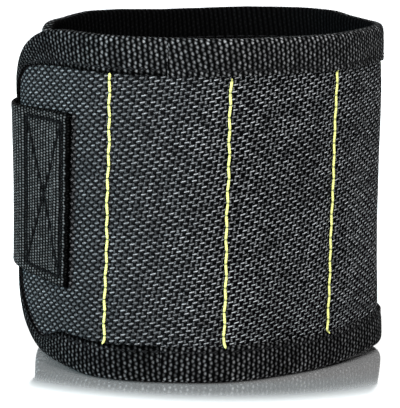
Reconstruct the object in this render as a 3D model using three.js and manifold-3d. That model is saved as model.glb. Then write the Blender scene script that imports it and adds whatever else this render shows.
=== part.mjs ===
// Magnetic wristband, closed round a wrist and standing on its lower edge.
// Millimetres, +Z up, origin under the middle of the band's box at the lower edge.
//
// The band is one long padded strip. Seen from above it runs anticlockwise:
// end flap (outside, carries the strap), five magnet pockets, loop panel,
// inner flap (lies under the end flap). Upright stitch lines divide it, and
// the strip bends at those lines. Every piece is built from its flat pattern:
// s runs along the strip, z is height, n is depth from the outer cloth inwards.
import * as THREE from "three";
import { mergeVertices } from "three/addons/utils/BufferGeometryUtils.js";
import Module from "manifold-3d";

// ---- driving dimensions ----------------------------------------------------
const BAND_HEIGHT = 90;
const END_FLAP_LENGTH = 42.2;
const POCKET_WIDTHS = [31.5, 34, 33, 33, 33];
const LOOP_PANEL_LENGTH = 33;
const INNER_FLAP_LENGTH = 35;
const BEND_LENGTH = 20; // curved stretch centred on each stitch line

// Rest shape in plan: the tip of the end flap, its heading, and the turns (degrees).
const TIP_X = -47.0215;
const TIP_Y = -4.539;
const TIP_HEADING = -96;
const TIP_CURL_LENGTH = 13; // the end flap's tip, drawn round by the strap
const TIP_CURL_TURN = 42;
const END_FLAP_TURN = 8;
const LINE_TURNS = [46, 34, 30, 60, 61.5, 28, 14];
const INNER_FLAP_TURN = 66;

// Layers, measured as n.
const SHELL_THICK = 0.8;
const SHELL_PRESS = 0.1;
const LINING_FRONT = 0.95;
const LINING_EDGE_BACK = 1.75;
const LINING_BACK = 4.0;
const FLAP_LINING_BACK = 1.95;
const EDGE_INSET = 1.0; // cloth edge to the outside of the binding fold

const BINDING_HEIGHT = 9.6;
const BINDING_OUT = -0.95;
const BINDING_OUT_IN = -0.15;
const BINDING_BACK_IN = 1.95;
const BINDING_BACK = 2.75;
const BINDING_FOLD = 0.8;
const FLAP_BINDING_BACK_IN = 2.1;
const FLAP_BINDING_BACK = 2.9;
const END_CORNER = [34, 22.4]; // the rounded corners: along the strip, upright
const INNER_CORNER = [15, 15];

const SEAM_GAP = 0.15; // half the gap left at each stitch line

const THREAD_WIDTH = 0.9;
const THREAD_OUT = -0.55;
const THREAD_IN = -0.1;
const THREAD_OFFSET = 0.3;

const MAGNET_DIAMETER = 18;
const MAGNET_THICK = 2;
const MAGNET_FRONT = 1.2;
const MAGNET_SPACING = 22;
const RECESS_DIAMETER = 18.8;
const RECESS_BACK = 3.4;

const STRAP_HEIGHT = 45;
const STRAP_OUT = -2.65;
const STRAP_IN = -1.25;
const STRAP_SEWN = 31.5; // from the tip of the end flap to the strap's sewn edge
const STRAP_MID = 27;
const STRAP_TAIL = 32;
const STRAP_LIFT_OVER_PANEL = 1.45;
const HOOK_OUT = -1.1;
const HOOK_IN = -0.3;
const HOOK_HEIGHT = 41;
const HOOK_MARGIN = 2;

const PATCH_OUT = -1.45;
const PATCH_IN = -0.15;
const PATCH_HEIGHT = 60;
const PATCH_MARGIN = 2.2;
const INNER_PATCH_END = 18; // from the inner flap's end to its loop patch

const BOX_STITCH_START = 13.3; // from the tip of the end flap
const BOX_STITCH_MARGIN = 2.3; // to the strap's sewn edge
const BOX_STITCH_INSET = 2.5; // to the strap's long edges
const BOX_STITCH_WIDTH = 0.9;
const BOX_STITCH_OUT = -3.15;
const BOX_STITCH_IN = -2.8;

// ---- materials -------------------------------------------------------------
const look = (color, roughness, metalness = 0) =>
  new THREE.MeshStandardMaterial({ color, roughness, metalness });
const SHELL = look(0x383c40, 0.72);
const BINDING = look(0x323335, 0.85);
const LINING = look(0x0b0b0d, 0.95);
const YELLOW = look(0xdfe06a, 0.6);
const STEEL = look(0xb9bcc0, 0.28, 1);
const WEBBING = look(0x333638, 0.82);
const BLACK_THREAD = look(0x141416, 0.7);
const LOOP = look(0x1c1d20, 0.98);
const HOOK = look(0x1a1b1d, 0.8);

// ---- plan path ---------------------------------------------------------------
const rad = THREE.MathUtils.degToRad;

// Stitch lines, as distances from the tip of the end flap.
const LINES = [END_FLAP_LENGTH];
for (const width of [...POCKET_WIDTHS, LOOP_PANEL_LENGTH])
  LINES.push(LINES[LINES.length - 1] + width);
const BAND_END = LINES[LINES.length - 1] + INNER_FLAP_LENGTH;

// Stretches of constant curvature: [length, turn].
const STRETCHES = [
  [TIP_CURL_LENGTH, rad(TIP_CURL_TURN)],
  [END_FLAP_LENGTH - TIP_CURL_LENGTH - BEND_LENGTH / 2, rad(END_FLAP_TURN)],
];
LINES.forEach((line, i) => {
  STRETCHES.push([BEND_LENGTH, rad(LINE_TURNS[i])]);
  if (i + 1 < LINES.length)
    STRETCHES.push([LINES[i + 1] - line - BEND_LENGTH, 0]);
});
STRETCHES.push([INNER_FLAP_LENGTH - BEND_LENGTH / 2, rad(INNER_FLAP_TURN)]);

function advance(place, length, turn) {
  const h = place.h + turn;
  if (Math.abs(turn) < 1e-9)
    return {
      x: place.x + length * Math.cos(place.h),
      y: place.y + length * Math.sin(place.h),
      h,
    };
  const r = length / turn;
  return {
    x: place.x + r * (Math.sin(h) - Math.sin(place.h)),
    y: place.y - r * (Math.cos(h) - Math.cos(place.h)),
    h,
  };
}

// Behind the tip the path goes on as the strap's: an arc that brings it down
// to the loop panel, then straight along that panel.
let STRAP_ARC = [0, 0];

function placeAt(s) {
  let place = { x: TIP_X, y: TIP_Y, h: rad(TIP_HEADING) };
  if (s < 0) {
    const [length, turn] = STRAP_ARC;
    const used = Math.min(-s, length);
    place = advance(place, -used, -turn * (used / length));
    return advance(place, s + used, 0);
  }
  for (const [length, turn] of STRETCHES) {
    if (s <= length + 1e-9) return advance(place, s, (turn * s) / length);
    place = advance(place, length, turn);
    s -= length;
  }
  return advance(place, s, 0);
}

{
  const tip = placeAt(0);
  const panel = placeAt((LINES[5] + LINES[6]) / 2);
  const turn = tip.h + 2 * Math.PI - panel.h;
  const outX = Math.sin(panel.h);
  const outY = -Math.cos(panel.h);
  const rise =
    STRAP_LIFT_OVER_PANEL -
    ((tip.x - panel.x) * outX + (tip.y - panel.y) * outY);
  STRAP_ARC = [(rise / (1 - Math.cos(turn))) * turn, turn];
}

// A point of the strip in space.
function point(n, z, s) {
  const p = placeAt(s);
  return new THREE.Vector3(
    p.x - n * Math.sin(p.h),
    p.y + n * Math.cos(p.h),
    z,
  );
}

// Stations between two places of the path: close together on curves only.
const BREAKS = (() => {
  const list = [-STRAP_ARC[0], 0];
  let s = 0;
  for (const [length] of STRETCHES) list.push((s += length));
  return list;
})();
function stations(from, to, step = 3.4) {
  const marks = [
    from,
    ...BREAKS.filter((b) => b > from + 0.05 && b < to - 0.05),
    to,
  ].sort((a, b) => a - b);
  const out = [marks[0]];
  for (let i = 1; i < marks.length; i++) {
    const a = marks[i - 1];
    const b = marks[i];
    const bend = Math.abs(placeAt(b).h - placeAt(a).h);
    const parts =
      bend < 1e-6
        ? 1
        : Math.max(1, Math.ceil(Math.max((b - a) / step / 1.6, bend / rad(7))));
    for (let k = 1; k <= parts; k++) out.push(a + ((b - a) * k) / parts);
  }
  return out;
}

// ---- solids ------------------------------------------------------------------
// Extrudes a closed outline one unit per station, then lays every vertex in
// its place with put(u, v, station).
function wrap(outline, count, put) {
  const shape = new THREE.Shape(outline.map(([u, v]) => new THREE.Vector2(u, v)));
  const geometry = new THREE.ExtrudeGeometry(shape, {
    depth: count - 1,
    steps: count - 1,
    bevelEnabled: false,
  });
  geometry.deleteAttribute("normal");
  geometry.deleteAttribute("uv");
  const at = geometry.getAttribute("position");
  for (let i = 0; i < at.count; i++) {
    const p = put(at.getX(i), at.getY(i), Math.round(at.getZ(i)));
    at.setXYZ(i, p.x, p.y, p.z);
  }
  const merged = mergeVertices(geometry, 1e-4);
  merged.computeVertexNormals();
  return merged;
}

// A layer of the strip: an outline in (n, z) carried from one s to another.
function layer(outline, from, to, shrink = null) {
  const marks = shrink ? roundStations(from, to) : stations(from, to);
  return wrap(outline, marks.length, (n, z, k) => {
    const s = marks[k];
    return point(n, shrink ? shrink(z, s) : z, s);
  });
}

const slab = (n0, n1, z0, z1) => [
  [n0, z0],
  [n1, z0],
  [n1, z1],
  [n0, z1],
];

// The rounded ends: how far the cloth's edge draws in at a distance from the end.
const clothCorner = (corner) => corner.map((axis) => axis - EDGE_INSET);
function drawIn(distance, corner) {
  const [along, upright] = clothCorner(corner);
  if (distance >= along) return 0;
  const d = (along - distance) / along;
  return upright - upright * Math.sqrt(Math.max(0, 1 - d * d));
}
const shrinkBy = (distanceAt, corner) => (z, s) => {
  const full = BAND_HEIGHT / 2 - EDGE_INSET;
  return (
    BAND_HEIGHT / 2 +
    ((z - BAND_HEIGHT / 2) * (full - drawIn(distanceAt(s), corner))) / full
  );
};
const shrinkEndFlap = shrinkBy((s) => s - EDGE_INSET, END_CORNER);
const shrinkInnerFlap = shrinkBy((s) => BAND_END - EDGE_INSET - s, INNER_CORNER);
function roundStations(from, to) {
  const marks = stations(from, to);
  for (const a of [8, 19, 31, 44, 58, 74]) {
    const share = 1 - Math.cos(rad(a));
    marks.push(
      EDGE_INSET + share * clothCorner(END_CORNER)[0],
      BAND_END - EDGE_INSET - share * clothCorner(INNER_CORNER)[0],
    );
  }
  const sorted = marks
    .filter((s) => s >= from - 1e-9 && s <= to + 1e-9)
    .sort((a, b) => a - b);
  return sorted.filter((s, i) => i === 0 || s - sorted[i - 1] > 0.12);
}

// The folded binding's section, from the outer leg round the fold to the inner leg.
// The legs of a rounded end bulge by LEG_BULGE at the steps that let them follow the bend.
const LEG_BULGE = 0.02;
const LEG_STEPS = [1, 2, 3].map((k) => (BINDING_HEIGHT * k) / 4);
const bindingSection = (backIn, back, steps) => [
  [BINDING_OUT, 0],
  [back, 0],
  ...steps.map((e) => [back + LEG_BULGE, e]),
  [back, BINDING_HEIGHT],
  [backIn, BINDING_HEIGHT],
  ...steps.map((e) => [backIn - LEG_BULGE, e]).reverse(),
  [backIn, BINDING_FOLD],
  [BINDING_OUT_IN, BINDING_FOLD],
  ...steps.map((e) => [BINDING_OUT_IN + LEG_BULGE, e]),
  [BINDING_OUT_IN, BINDING_HEIGHT],
  [BINDING_OUT, BINDING_HEIGHT],
  ...steps.map((e) => [BINDING_OUT - LEG_BULGE, e]).reverse(),
];
const POCKET_BINDING = bindingSection(BINDING_BACK_IN, BINDING_BACK, []);
const FLAP_BINDING = bindingSection(
  FLAP_BINDING_BACK_IN,
  FLAP_BINDING_BACK,
  LEG_STEPS,
);

const bottomBinding = (from, to) => layer(POCKET_BINDING, from, to);
const topBinding = (from, to) =>
  layer(
    POCKET_BINDING.map(([n, e]) => [n, BAND_HEIGHT - e]).reverse(),
    from,
    to,
  );

// The binding of a rounded end: along one edge, round the end and back along
// the other edge. Each station is a place (s, z) and the inward direction.
function endBinding(section, contour) {
  return wrap(section, contour.length, (n, e, k) => {
    const c = contour[k];
    return point(n, c.z + e * c.ez, c.s + e * c.es);
  });
}
function endContour(tip, line, sense, [along, upright]) {
  // sense +1: the strip's material lies towards larger s, as on the end flap.
  const list = [];
  const top = BAND_HEIGHT;
  const start = tip + sense * along;
  const low = Math.min(start, line);
  const high = Math.max(start, line);
  const straight = stations(low, high);
  if (sense > 0) straight.reverse(); // from the stitch line to the corner
  const firstZ = sense > 0 ? top : 0;
  const inward = sense > 0 ? -1 : 1;
  for (const s of straight) list.push({ s, z: firstZ, es: 0, ez: inward });
  const turns = Math.round(4 + along / 6);
  const corner = (zc, a0, a1) => {
    for (let k = 1; k <= turns; k++) {
      const a = rad(a0 + ((a1 - a0) * k) / turns);
      const ns = Math.cos(a) / along;
      const nz = Math.sin(a) / upright;
      const norm = Math.hypot(ns, nz);
      list.push({
        s: start - sense * along * Math.cos(a),
        z: zc + upright * Math.sin(a),
        es: (sense * ns) / norm,
        ez: -nz / norm,
      });
    }
  };
  if (sense > 0) {
    corner(top - upright, 90, 0);
    list.push({ s: tip, z: upright, es: 1, ez: 0 });
    corner(upright, 0, -90);
  } else {
    corner(upright, -90, 0);
    list.push({ s: tip, z: top - upright, es: -1, ez: 0 });
    corner(top - upright, 0, 90);
  }
  const back = straight.slice(0, -1).reverse();
  for (const s of back)
    list.push({ s, z: top - firstZ, es: 0, ez: -inward });
  return list;
}

// ---- joining and cutting -------------------------------------------------------
const wasm = await Module();
wasm.setup();

function solid(geometry) {
  const bare = new THREE.BufferGeometry().setAttribute(
    "position",
    geometry.getAttribute("position"),
  );
  if (geometry.index) bare.setIndex(geometry.index);
  const merged = mergeVertices(bare, 1e-4);
  return new wasm.Manifold(
    new wasm.Mesh({
      numProp: 3,
      vertProperties: new Float32Array(merged.getAttribute("position").array),
      triVerts: new Uint32Array(merged.index.array),
    }),
  );
}
function geometryOf(body) {
  const mesh = body.getMesh();
  const positions = new Float32Array(mesh.numVert * 3);
  for (let i = 0; i < mesh.numVert; i++)
    positions.set(
      mesh.vertProperties.subarray(i * mesh.numProp, i * mesh.numProp + 3),
      i * 3,
    );
  const geometry = new THREE.BufferGeometry()
    .setAttribute("position", new THREE.BufferAttribute(positions, 3))
    .setIndex(new THREE.BufferAttribute(mesh.triVerts, 1));
  geometry.computeVertexNormals();
  return geometry;
}

// A disc with its axis along the strip's depth, from depth n0 to depth n1.
function disc(diameter, n0, n1, z, s, sides = 24) {
  const a = point(n0, z, s);
  const b = point(n1, z, s);
  const geometry = new THREE.CylinderGeometry(
    diameter / 2,
    diameter / 2,
    n1 - n0,
    sides,
  );
  const turn = new THREE.Quaternion().setFromUnitVectors(
    new THREE.Vector3(0, 1, 0),
    b.clone().sub(a).normalize(),
  );
  const centre = a.add(b).multiplyScalar(0.5);
  return { geometry, turn, centre };
}

// ---- the band ------------------------------------------------------------------
const band = new THREE.Group();
function add(name, geometry, material, parent = band) {
  const mesh = new THREE.Mesh(geometry, material);
  mesh.name = name;
  parent.add(mesh);
  return mesh;
}

const LOW = EDGE_INSET;
const HIGH = BAND_HEIGHT - EDGE_INSET;
const MIDDLE = BAND_HEIGHT / 2;

// The shell is pressed in a little where the binding covers it.
const shellOutline = [
  [SHELL_PRESS, LOW],
  [SHELL_THICK, LOW],
  [SHELL_THICK, HIGH],
  [SHELL_PRESS, HIGH],
  [SHELL_PRESS, BAND_HEIGHT - BINDING_HEIGHT - 0.1],
  [0, BAND_HEIGHT - BINDING_HEIGHT - 0.4],
  [0, BINDING_HEIGHT + 0.4],
  [SHELL_PRESS, BINDING_HEIGHT + 0.1],
];
const flapLiningOutline = slab(LINING_FRONT, FLAP_LINING_BACK, LOW, HIGH);
const paddedOutline = [
  [LINING_FRONT, LOW],
  [LINING_EDGE_BACK, LOW],
  [LINING_EDGE_BACK, 11.2],
  [LINING_BACK - 0.5, 14.5],
  [LINING_BACK, 18],
  [LINING_BACK, BAND_HEIGHT - 18],
  [LINING_BACK - 0.5, BAND_HEIGHT - 14.5],
  [LINING_EDGE_BACK, BAND_HEIGHT - 11.2],
  [LINING_EDGE_BACK, HIGH],
  [LINING_FRONT, HIGH],
];

// Five magnet pockets.
POCKET_WIDTHS.forEach((width, i) => {
  const number = i + 1;
  const from = LINES[i] + SEAM_GAP;
  const to = LINES[i + 1] - SEAM_GAP;
  const centre = (LINES[i] + LINES[i + 1]) / 2;
  const pocket = new THREE.Group();
  band.add(pocket);

  add(`pocket_${number}_shell`, layer(shellOutline, from, to), SHELL, pocket);

  let lining = solid(layer(paddedOutline, from, to));
  for (const level of [-1, 0, 1]) {
    const z = MIDDLE + level * MAGNET_SPACING;
    const hole = disc(RECESS_DIAMETER, LINING_FRONT - 1, RECESS_BACK, z, centre);
    const cutter = hole.geometry
      .applyQuaternion(hole.turn)
      .translate(hole.centre.x, hole.centre.y, hole.centre.z);
    cutter.deleteAttribute("normal");
    cutter.deleteAttribute("uv");
    lining = lining.subtract(solid(cutter));
  }
  add(`pocket_${number}_lining`, geometryOf(lining), LINING, pocket);

  ["bottom", "middle", "top"].forEach((level, k) => {
    const z = MIDDLE + (k - 1) * MAGNET_SPACING;
    const made = disc(
      MAGNET_DIAMETER,
      MAGNET_FRONT,
      MAGNET_FRONT + MAGNET_THICK,
      z,
      centre,
    );
    const magnet = add(
      `pocket_${number}_magnet_${level}`,
      made.geometry,
      STEEL,
      pocket,
    );
    magnet.quaternion.copy(made.turn);
    magnet.position.copy(made.centre);
  });

  add(`pocket_${number}_binding_bottom`, bottomBinding(from, to), BINDING, pocket);
  add(`pocket_${number}_binding_top`, topBinding(from, to), BINDING, pocket);
});

// Yellow stitch lines between the pockets and at both outer pockets.
for (let i = 0; i < 6; i++) {
  const from = LINES[i] + THREAD_OFFSET;
  add(
    `stitch_line_${i + 1}`,
    layer(
      slab(
        THREAD_OUT,
        THREAD_IN,
        BINDING_HEIGHT + 0.3,
        BAND_HEIGHT - BINDING_HEIGHT - 0.3,
      ),
      from,
      from + THREAD_WIDTH,
    ),
    YELLOW,
  );
}

// End flap with the sewn end of the strap.
{
  const flap = new THREE.Group();
  band.add(flap);
  const to = LINES[0] - SEAM_GAP;
  add("end_flap_shell", layer(shellOutline, EDGE_INSET, to, shrinkEndFlap), SHELL, flap);
  add(
    "end_flap_lining",
    layer(flapLiningOutline, EDGE_INSET, to, shrinkEndFlap),
    LINING,
    flap,
  );
  add(
    "end_flap_binding",
    endBinding(FLAP_BINDING, endContour(0, to, 1, END_CORNER)),
    BINDING,
    flap,
  );
  add(
    "strap_sewn_end",
    layer(
      slab(
        STRAP_OUT,
        STRAP_IN,
        MIDDLE - STRAP_HEIGHT / 2,
        MIDDLE + STRAP_HEIGHT / 2,
      ),
      SEAM_GAP,
      STRAP_SEWN,
    ),
    WEBBING,
    flap,
  );

  // Box-and-cross stitch: the outline with its four windows, cut out of a thin
  // layer that follows the strap.
  const s0 = BOX_STITCH_START;
  const s1 = STRAP_SEWN - BOX_STITCH_MARGIN;
  const z0 = MIDDLE - STRAP_HEIGHT / 2 + BOX_STITCH_INSET;
  const z1 = MIDDLE + STRAP_HEIGHT / 2 - BOX_STITCH_INSET;
  const w = BOX_STITCH_WIDTH;
  const a = s0 + w;
  const b = s1 - w;
  const c = z0 + w;
  const d = z1 - w;
  const sm = (s0 + s1) / 2;
  const zm = MIDDLE;
  const slope = (d - c) / (b - a);
  const half = (w / 2) * Math.sqrt(1 + slope * slope); // half a bar's height, measured upright
  const along = half / slope; // the same, measured level
  const box = new THREE.Shape([
    new THREE.Vector2(s0 - sm, z0),
    new THREE.Vector2(s1 - sm, z0),
    new THREE.Vector2(s1 - sm, z1),
    new THREE.Vector2(s0 - sm, z1),
  ]);
  const windowOf = (points) =>
    new THREE.Path(points.map(([s, z]) => new THREE.Vector2(s - sm, z)));
  box.holes.push(
    windowOf([[a, c + half], [a, d - half], [sm - along, zm]]),
    windowOf([[b, d - half], [b, c + half], [sm + along, zm]]),
    windowOf([[b - along, c], [a + along, c], [sm, zm - half]]),
    windowOf([[a + along, d], [b - along, d], [sm, zm + half]]),
  );
  const thin = solid(layer(slab(BOX_STITCH_OUT, BOX_STITCH_IN, z0 - 1, z1 + 1), s0 - 1, s1 + 1));
  const block = new THREE.ExtrudeGeometry(box, { depth: 14, bevelEnabled: false });
  block.deleteAttribute("normal");
  block.deleteAttribute("uv");
  const place = placeAt(sm);
  const basis = new THREE.Matrix4().makeBasis(
    new THREE.Vector3(Math.cos(place.h), Math.sin(place.h), 0),
    new THREE.Vector3(0, 0, 1),
    new THREE.Vector3(Math.sin(place.h), -Math.cos(place.h), 0),
  );
  block.applyMatrix4(basis);
  const at = point(5, 0, sm);
  block.translate(at.x, at.y, 0);
  add("strap_box_stitch", geometryOf(thin.intersect(solid(block))), BLACK_THREAD, flap);
}

// Loop panel: where the strap tail grips.
{
  const panel = new THREE.Group();
  band.add(panel);
  const from = LINES[5] + SEAM_GAP;
  const to = LINES[6] - SEAM_GAP;
  add("loop_panel_shell", layer(shellOutline, from, to), SHELL, panel);
  add("loop_panel_lining", layer(flapLiningOutline, from, to), LINING, panel);
  add("loop_panel_binding_bottom", bottomBinding(from, to), BINDING, panel);
  add("loop_panel_binding_top", topBinding(from, to), BINDING, panel);
  add(
    "loop_patch",
    layer(
      slab(
        PATCH_OUT,
        PATCH_IN,
        MIDDLE - PATCH_HEIGHT / 2,
        MIDDLE + PATCH_HEIGHT / 2,
      ),
      LINES[5] + PATCH_MARGIN,
      LINES[6] - PATCH_MARGIN,
    ),
    LOOP,
    panel,
  );
}

// Inner flap: the end that lies next to the wrist.
{
  const flap = new THREE.Group();
  band.add(flap);
  const from = LINES[6] + SEAM_GAP;
  const to = BAND_END - EDGE_INSET;
  add("inner_flap_shell", layer(shellOutline, from, to, shrinkInnerFlap), SHELL, flap);
  add(
    "inner_flap_lining",
    layer(flapLiningOutline, from, to, shrinkInnerFlap),
    LINING,
    flap,
  );
  add(
    "inner_flap_binding",
    endBinding(FLAP_BINDING, endContour(BAND_END, from, -1, INNER_CORNER)),
    BINDING,
    flap,
  );
  add(
    "inner_flap_loop_patch",
    layer(
      slab(
        PATCH_OUT,
        PATCH_IN,
        MIDDLE - PATCH_HEIGHT / 2,
        MIDDLE + PATCH_HEIGHT / 2,
      ),
      LINES[6] + PATCH_MARGIN,
      BAND_END - INNER_PATCH_END,
    ),
    LOOP,
    flap,
  );
}

// The free strap: a middle length, and the tail with the hook tape under it.
{
  const strap = new THREE.Group();
  band.add(strap);
  const z0 = MIDDLE - STRAP_HEIGHT / 2;
  const z1 = MIDDLE + STRAP_HEIGHT / 2;
  add(
    "strap_middle",
    layer(slab(STRAP_OUT, STRAP_IN, z0, z1), -STRAP_MID + SEAM_GAP, -SEAM_GAP),
    WEBBING,
    strap,
  );
  add(
    "strap_tail",
    layer(
      slab(STRAP_OUT, STRAP_IN, z0, z1),
      -STRAP_MID - STRAP_TAIL,
      -STRAP_MID - SEAM_GAP,
    ),
    WEBBING,
    strap,
  );
  add(
    "hook_tape",
    layer(
      slab(
        HOOK_OUT,
        HOOK_IN,
        MIDDLE - HOOK_HEIGHT / 2,
        MIDDLE + HOOK_HEIGHT / 2,
      ),
      -STRAP_MID - STRAP_TAIL + HOOK_MARGIN,
      -STRAP_MID - HOOK_MARGIN,
    ),
    HOOK,
    strap,
  );
}

export default band;
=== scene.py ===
"""Magnetic wristband: the looks. Lengths in the tables are millimetres; meshes are metres."""

import math

import bpy
import numpy as np
from mathutils import Matrix, Vector


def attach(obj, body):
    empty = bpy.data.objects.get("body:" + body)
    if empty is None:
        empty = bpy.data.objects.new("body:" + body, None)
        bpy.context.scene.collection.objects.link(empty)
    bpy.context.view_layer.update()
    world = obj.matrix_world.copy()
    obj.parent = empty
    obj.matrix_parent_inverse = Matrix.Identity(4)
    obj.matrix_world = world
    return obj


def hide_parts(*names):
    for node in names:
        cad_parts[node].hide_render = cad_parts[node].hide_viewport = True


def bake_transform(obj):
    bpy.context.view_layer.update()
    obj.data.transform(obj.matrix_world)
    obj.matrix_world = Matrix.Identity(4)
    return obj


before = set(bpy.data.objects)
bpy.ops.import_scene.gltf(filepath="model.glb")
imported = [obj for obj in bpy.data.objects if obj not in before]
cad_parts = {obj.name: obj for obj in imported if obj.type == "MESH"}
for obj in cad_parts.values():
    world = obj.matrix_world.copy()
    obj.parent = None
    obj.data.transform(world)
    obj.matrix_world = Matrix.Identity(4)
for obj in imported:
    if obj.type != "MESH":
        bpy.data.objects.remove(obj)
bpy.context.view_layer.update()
MM = 0.001
scene = bpy.context.scene

# ---------------------------------------------------------------- camera
# Height 90 mm in the picture gives the distance and the lens.
PIC_W, PIC_H = 400, 408
FOCAL_PX = 2537.3
CAM_DIST = 693.5
CAM_EL = math.radians(10.063)
CAM_ROLL = math.radians(1.6595)
AIM = np.array([4.2235, -0.288, 45.0])  # the point the fit turned about
AIM_PX = (211.9, 186.5)  # where that point lies in the picture

cam_data = bpy.data.cameras.new("camera")
cam = bpy.data.objects.new("camera", cam_data)
scene.collection.objects.link(cam)
scene.camera = cam
cam_data.sensor_fit = "AUTO"
cam_data.sensor_width = 36.0
cam_data.lens = FOCAL_PX / max(PIC_W, PIC_H) * 36.0
back = Vector((0, -math.cos(CAM_EL), math.sin(CAM_EL)))
right = Vector((1, 0, 0))
up = back.cross(right)
turn = Matrix((right, up, back)).transposed()
turn = turn @ Matrix.Rotation(CAM_ROLL, 3, "Z")
# swing the camera a little so that the aim point falls where it should
dx = (AIM_PX[0] - PIC_W / 2) / FOCAL_PX
dy = (PIC_H / 2 - AIM_PX[1]) / FOCAL_PX
turn = turn @ Matrix.Rotation(math.atan(dx), 3, "Y") @ Matrix.Rotation(-math.atan(dy), 3, "X")
place = Vector(AIM * MM) + back * (CAM_DIST * MM)
cam.matrix_world = Matrix.Translation(place) @ turn.to_4x4()
cam_data.clip_start, cam_data.clip_end = 0.01, 20.0

# ---------------------------------------------------------------- the strip's path
HEIGHT = 90.0
MID = HEIGHT / 2
LINES = [42.2, 73.7, 107.7, 140.7, 173.7, 206.7, 239.7]
END = 274.7
TURNS = [46.0, 34.0, 30.0, 60.0, 61.5, 28.0, 14.0]
BEND = 20.0
TIP = (-47.0215, -4.539)
TIP_HEADING = -96.0
TIP_CURL = (13.0, 42.0)
FLAP_TURN = 8.0
STRAP_ARC = (26.56, 50.5)
TIP_S = -8.5  # the cloth of the end flap runs on a little under the strap
INNER_CORNER = (15.0, 15.0)  # rounding of the inner flap, along and upright
BIND = 9.6
SEAM = [x + 0.75 for x in LINES[:6]]  # where the yellow thread runs
STRAP_END, STRAP_SEWN = -59.0, 31.5
STRAP_Z = (MID - 22.5, MID + 22.5)
BOX = (13.3, 29.2, STRAP_Z[0] + 2.5, STRAP_Z[1] - 2.5)  # box-and-cross sewing

DS = 0.25
S = np.arange(-80.0, 300.0 + DS, DS)


def curvature(s):
    k = np.zeros_like(s)
    a, t = STRAP_ARC
    k[(s >= -a) & (s < 0)] = math.radians(t) / a
    a, t = TIP_CURL
    k[(s >= 0) & (s < a)] = math.radians(t) / a
    k[(s >= a) & (s < LINES[0] - BEND / 2)] = math.radians(FLAP_TURN) / (LINES[0] - BEND / 2 - a)
    for line, t in zip(LINES, TURNS):
        k[(s >= line - BEND / 2) & (s < line + BEND / 2)] = math.radians(t) / BEND
    k[s >= LINES[-1] + BEND / 2] = math.radians(66.0) / (END - LINES[-1] - BEND / 2)
    return k


def integrate(k, at, x, y, h):
    """The path of curvature k that passes (x, y) with heading h at s = at."""
    head = np.concatenate([[0], np.cumsum((k[1:] + k[:-1]) / 2 * DS)])
    i = int(round((at - S[0]) / DS))
    head = head - head[i] + h
    mid = (head[1:] + head[:-1]) / 2
    px = np.concatenate([[0], np.cumsum(np.cos(mid) * DS)])
    py = np.concatenate([[0], np.cumsum(np.sin(mid) * DS)])
    return px - px[i] + x, py - py[i] + y, head


K0 = curvature(S)
X0, Y0, H0 = integrate(K0, 0.0, *TIP, math.radians(TIP_HEADING))
# The cloth follows the same path with its changes of bend eased.
EASE = 3.2
taps = np.arange(-16, 16 + DS, DS)
kernel = np.exp(-0.5 * (taps / EASE) ** 2)
kernel /= kernel.sum()
K1 = np.convolve(np.pad(K0, len(taps) // 2, mode="edge"), kernel, mode="valid")[: len(S)]
REF = 90.75
ri = int(round((REF - S[0]) / DS))
X1, Y1, H1 = integrate(K1, REF, X0[ri], Y0[ri], H0[ri])


def smooth(t):
    t = np.clip(t, 0, 1)
    return t * t * (3 - 2 * t)


LIFT, LEAN_UPPER, LEAN_LOWER = 0.6, 1.8, 0.65  # the end flap sits a little high and leans, upper edge out, lower edge in
RIM_S = [135, 150, 158, 165, 175, 193, 206, 218, 232, 243, 248, 253, 262, 275]  # the upper rim at the back isn't quite level
RIM_Z = [0, -0.1, 0.2, 0.85, 0.85, 0.65, 0.1, 0.0, 0.5, 0.5, -0.1, -0.8, -1.2, -1.2]


def at(s, n, z):
    """Points of the strip: s along it, n inwards from the outer cloth, z up. Millimetres."""
    s, n, z = np.broadcast_arrays(np.asarray(s, float), np.asarray(n, float), np.asarray(z, float))
    flap = smooth((40.0 - s) / 40.0) * smooth((s + 34.0) / 34.0)
    foot = np.clip((MID - z) / MID, 0, 1) ** 1.6
    # the right side stands out, most of all at its foot, and the front's foot a little
    turn_ = smooth((s - 105.0) / 28.0) * smooth((182.0 - s) / 30.0)
    front = smooth((s - 30.0) / 25.0) * smooth((108.0 - s) / 25.0)
    n = n + np.where(z > MID, LEAN_UPPER, LEAN_LOWER) * (MID - z) / MID * flap
    n = n - (1.0 + 2.0 * foot - 1.0 * smooth((z - 70.0) / 20.0)) * turn_ - 1.3 * foot * front
    x, y, h = (np.interp(s, S, a) for a in (X1, Y1, H1))
    up_ = z + LIFT * flap + np.interp(s, RIM_S, RIM_Z) * np.clip(z / HEIGHT, 0, 1) ** 2
    up_ = up_ + 1.5 * turn_ * np.clip(1 - z / HEIGHT, 0, 1) ** 2
    return np.stack([x - n * np.sin(h), y + n * np.cos(h), up_], -1)


def ripple(a, b, seed=0.0):
    """Slow uneven waves, about -1 to 1."""
    return (
        np.sin(a * 0.173 + b * 0.091 + seed)
        + np.sin(a * 0.097 - b * 0.143 + 1.7 + seed * 2.1)
        + 0.6 * np.sin(a * 0.311 + b * 0.227 + 0.4 + seed * 0.7)
        + 0.5 * np.sin(-a * 0.263 + b * 0.351 + 2.9 + seed * 1.3)
    ) / 3.1


def line_distance(s):
    s = np.asarray(s, float)
    return np.min(np.abs(s[..., None] - np.array(SEAM)), -1)


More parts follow.
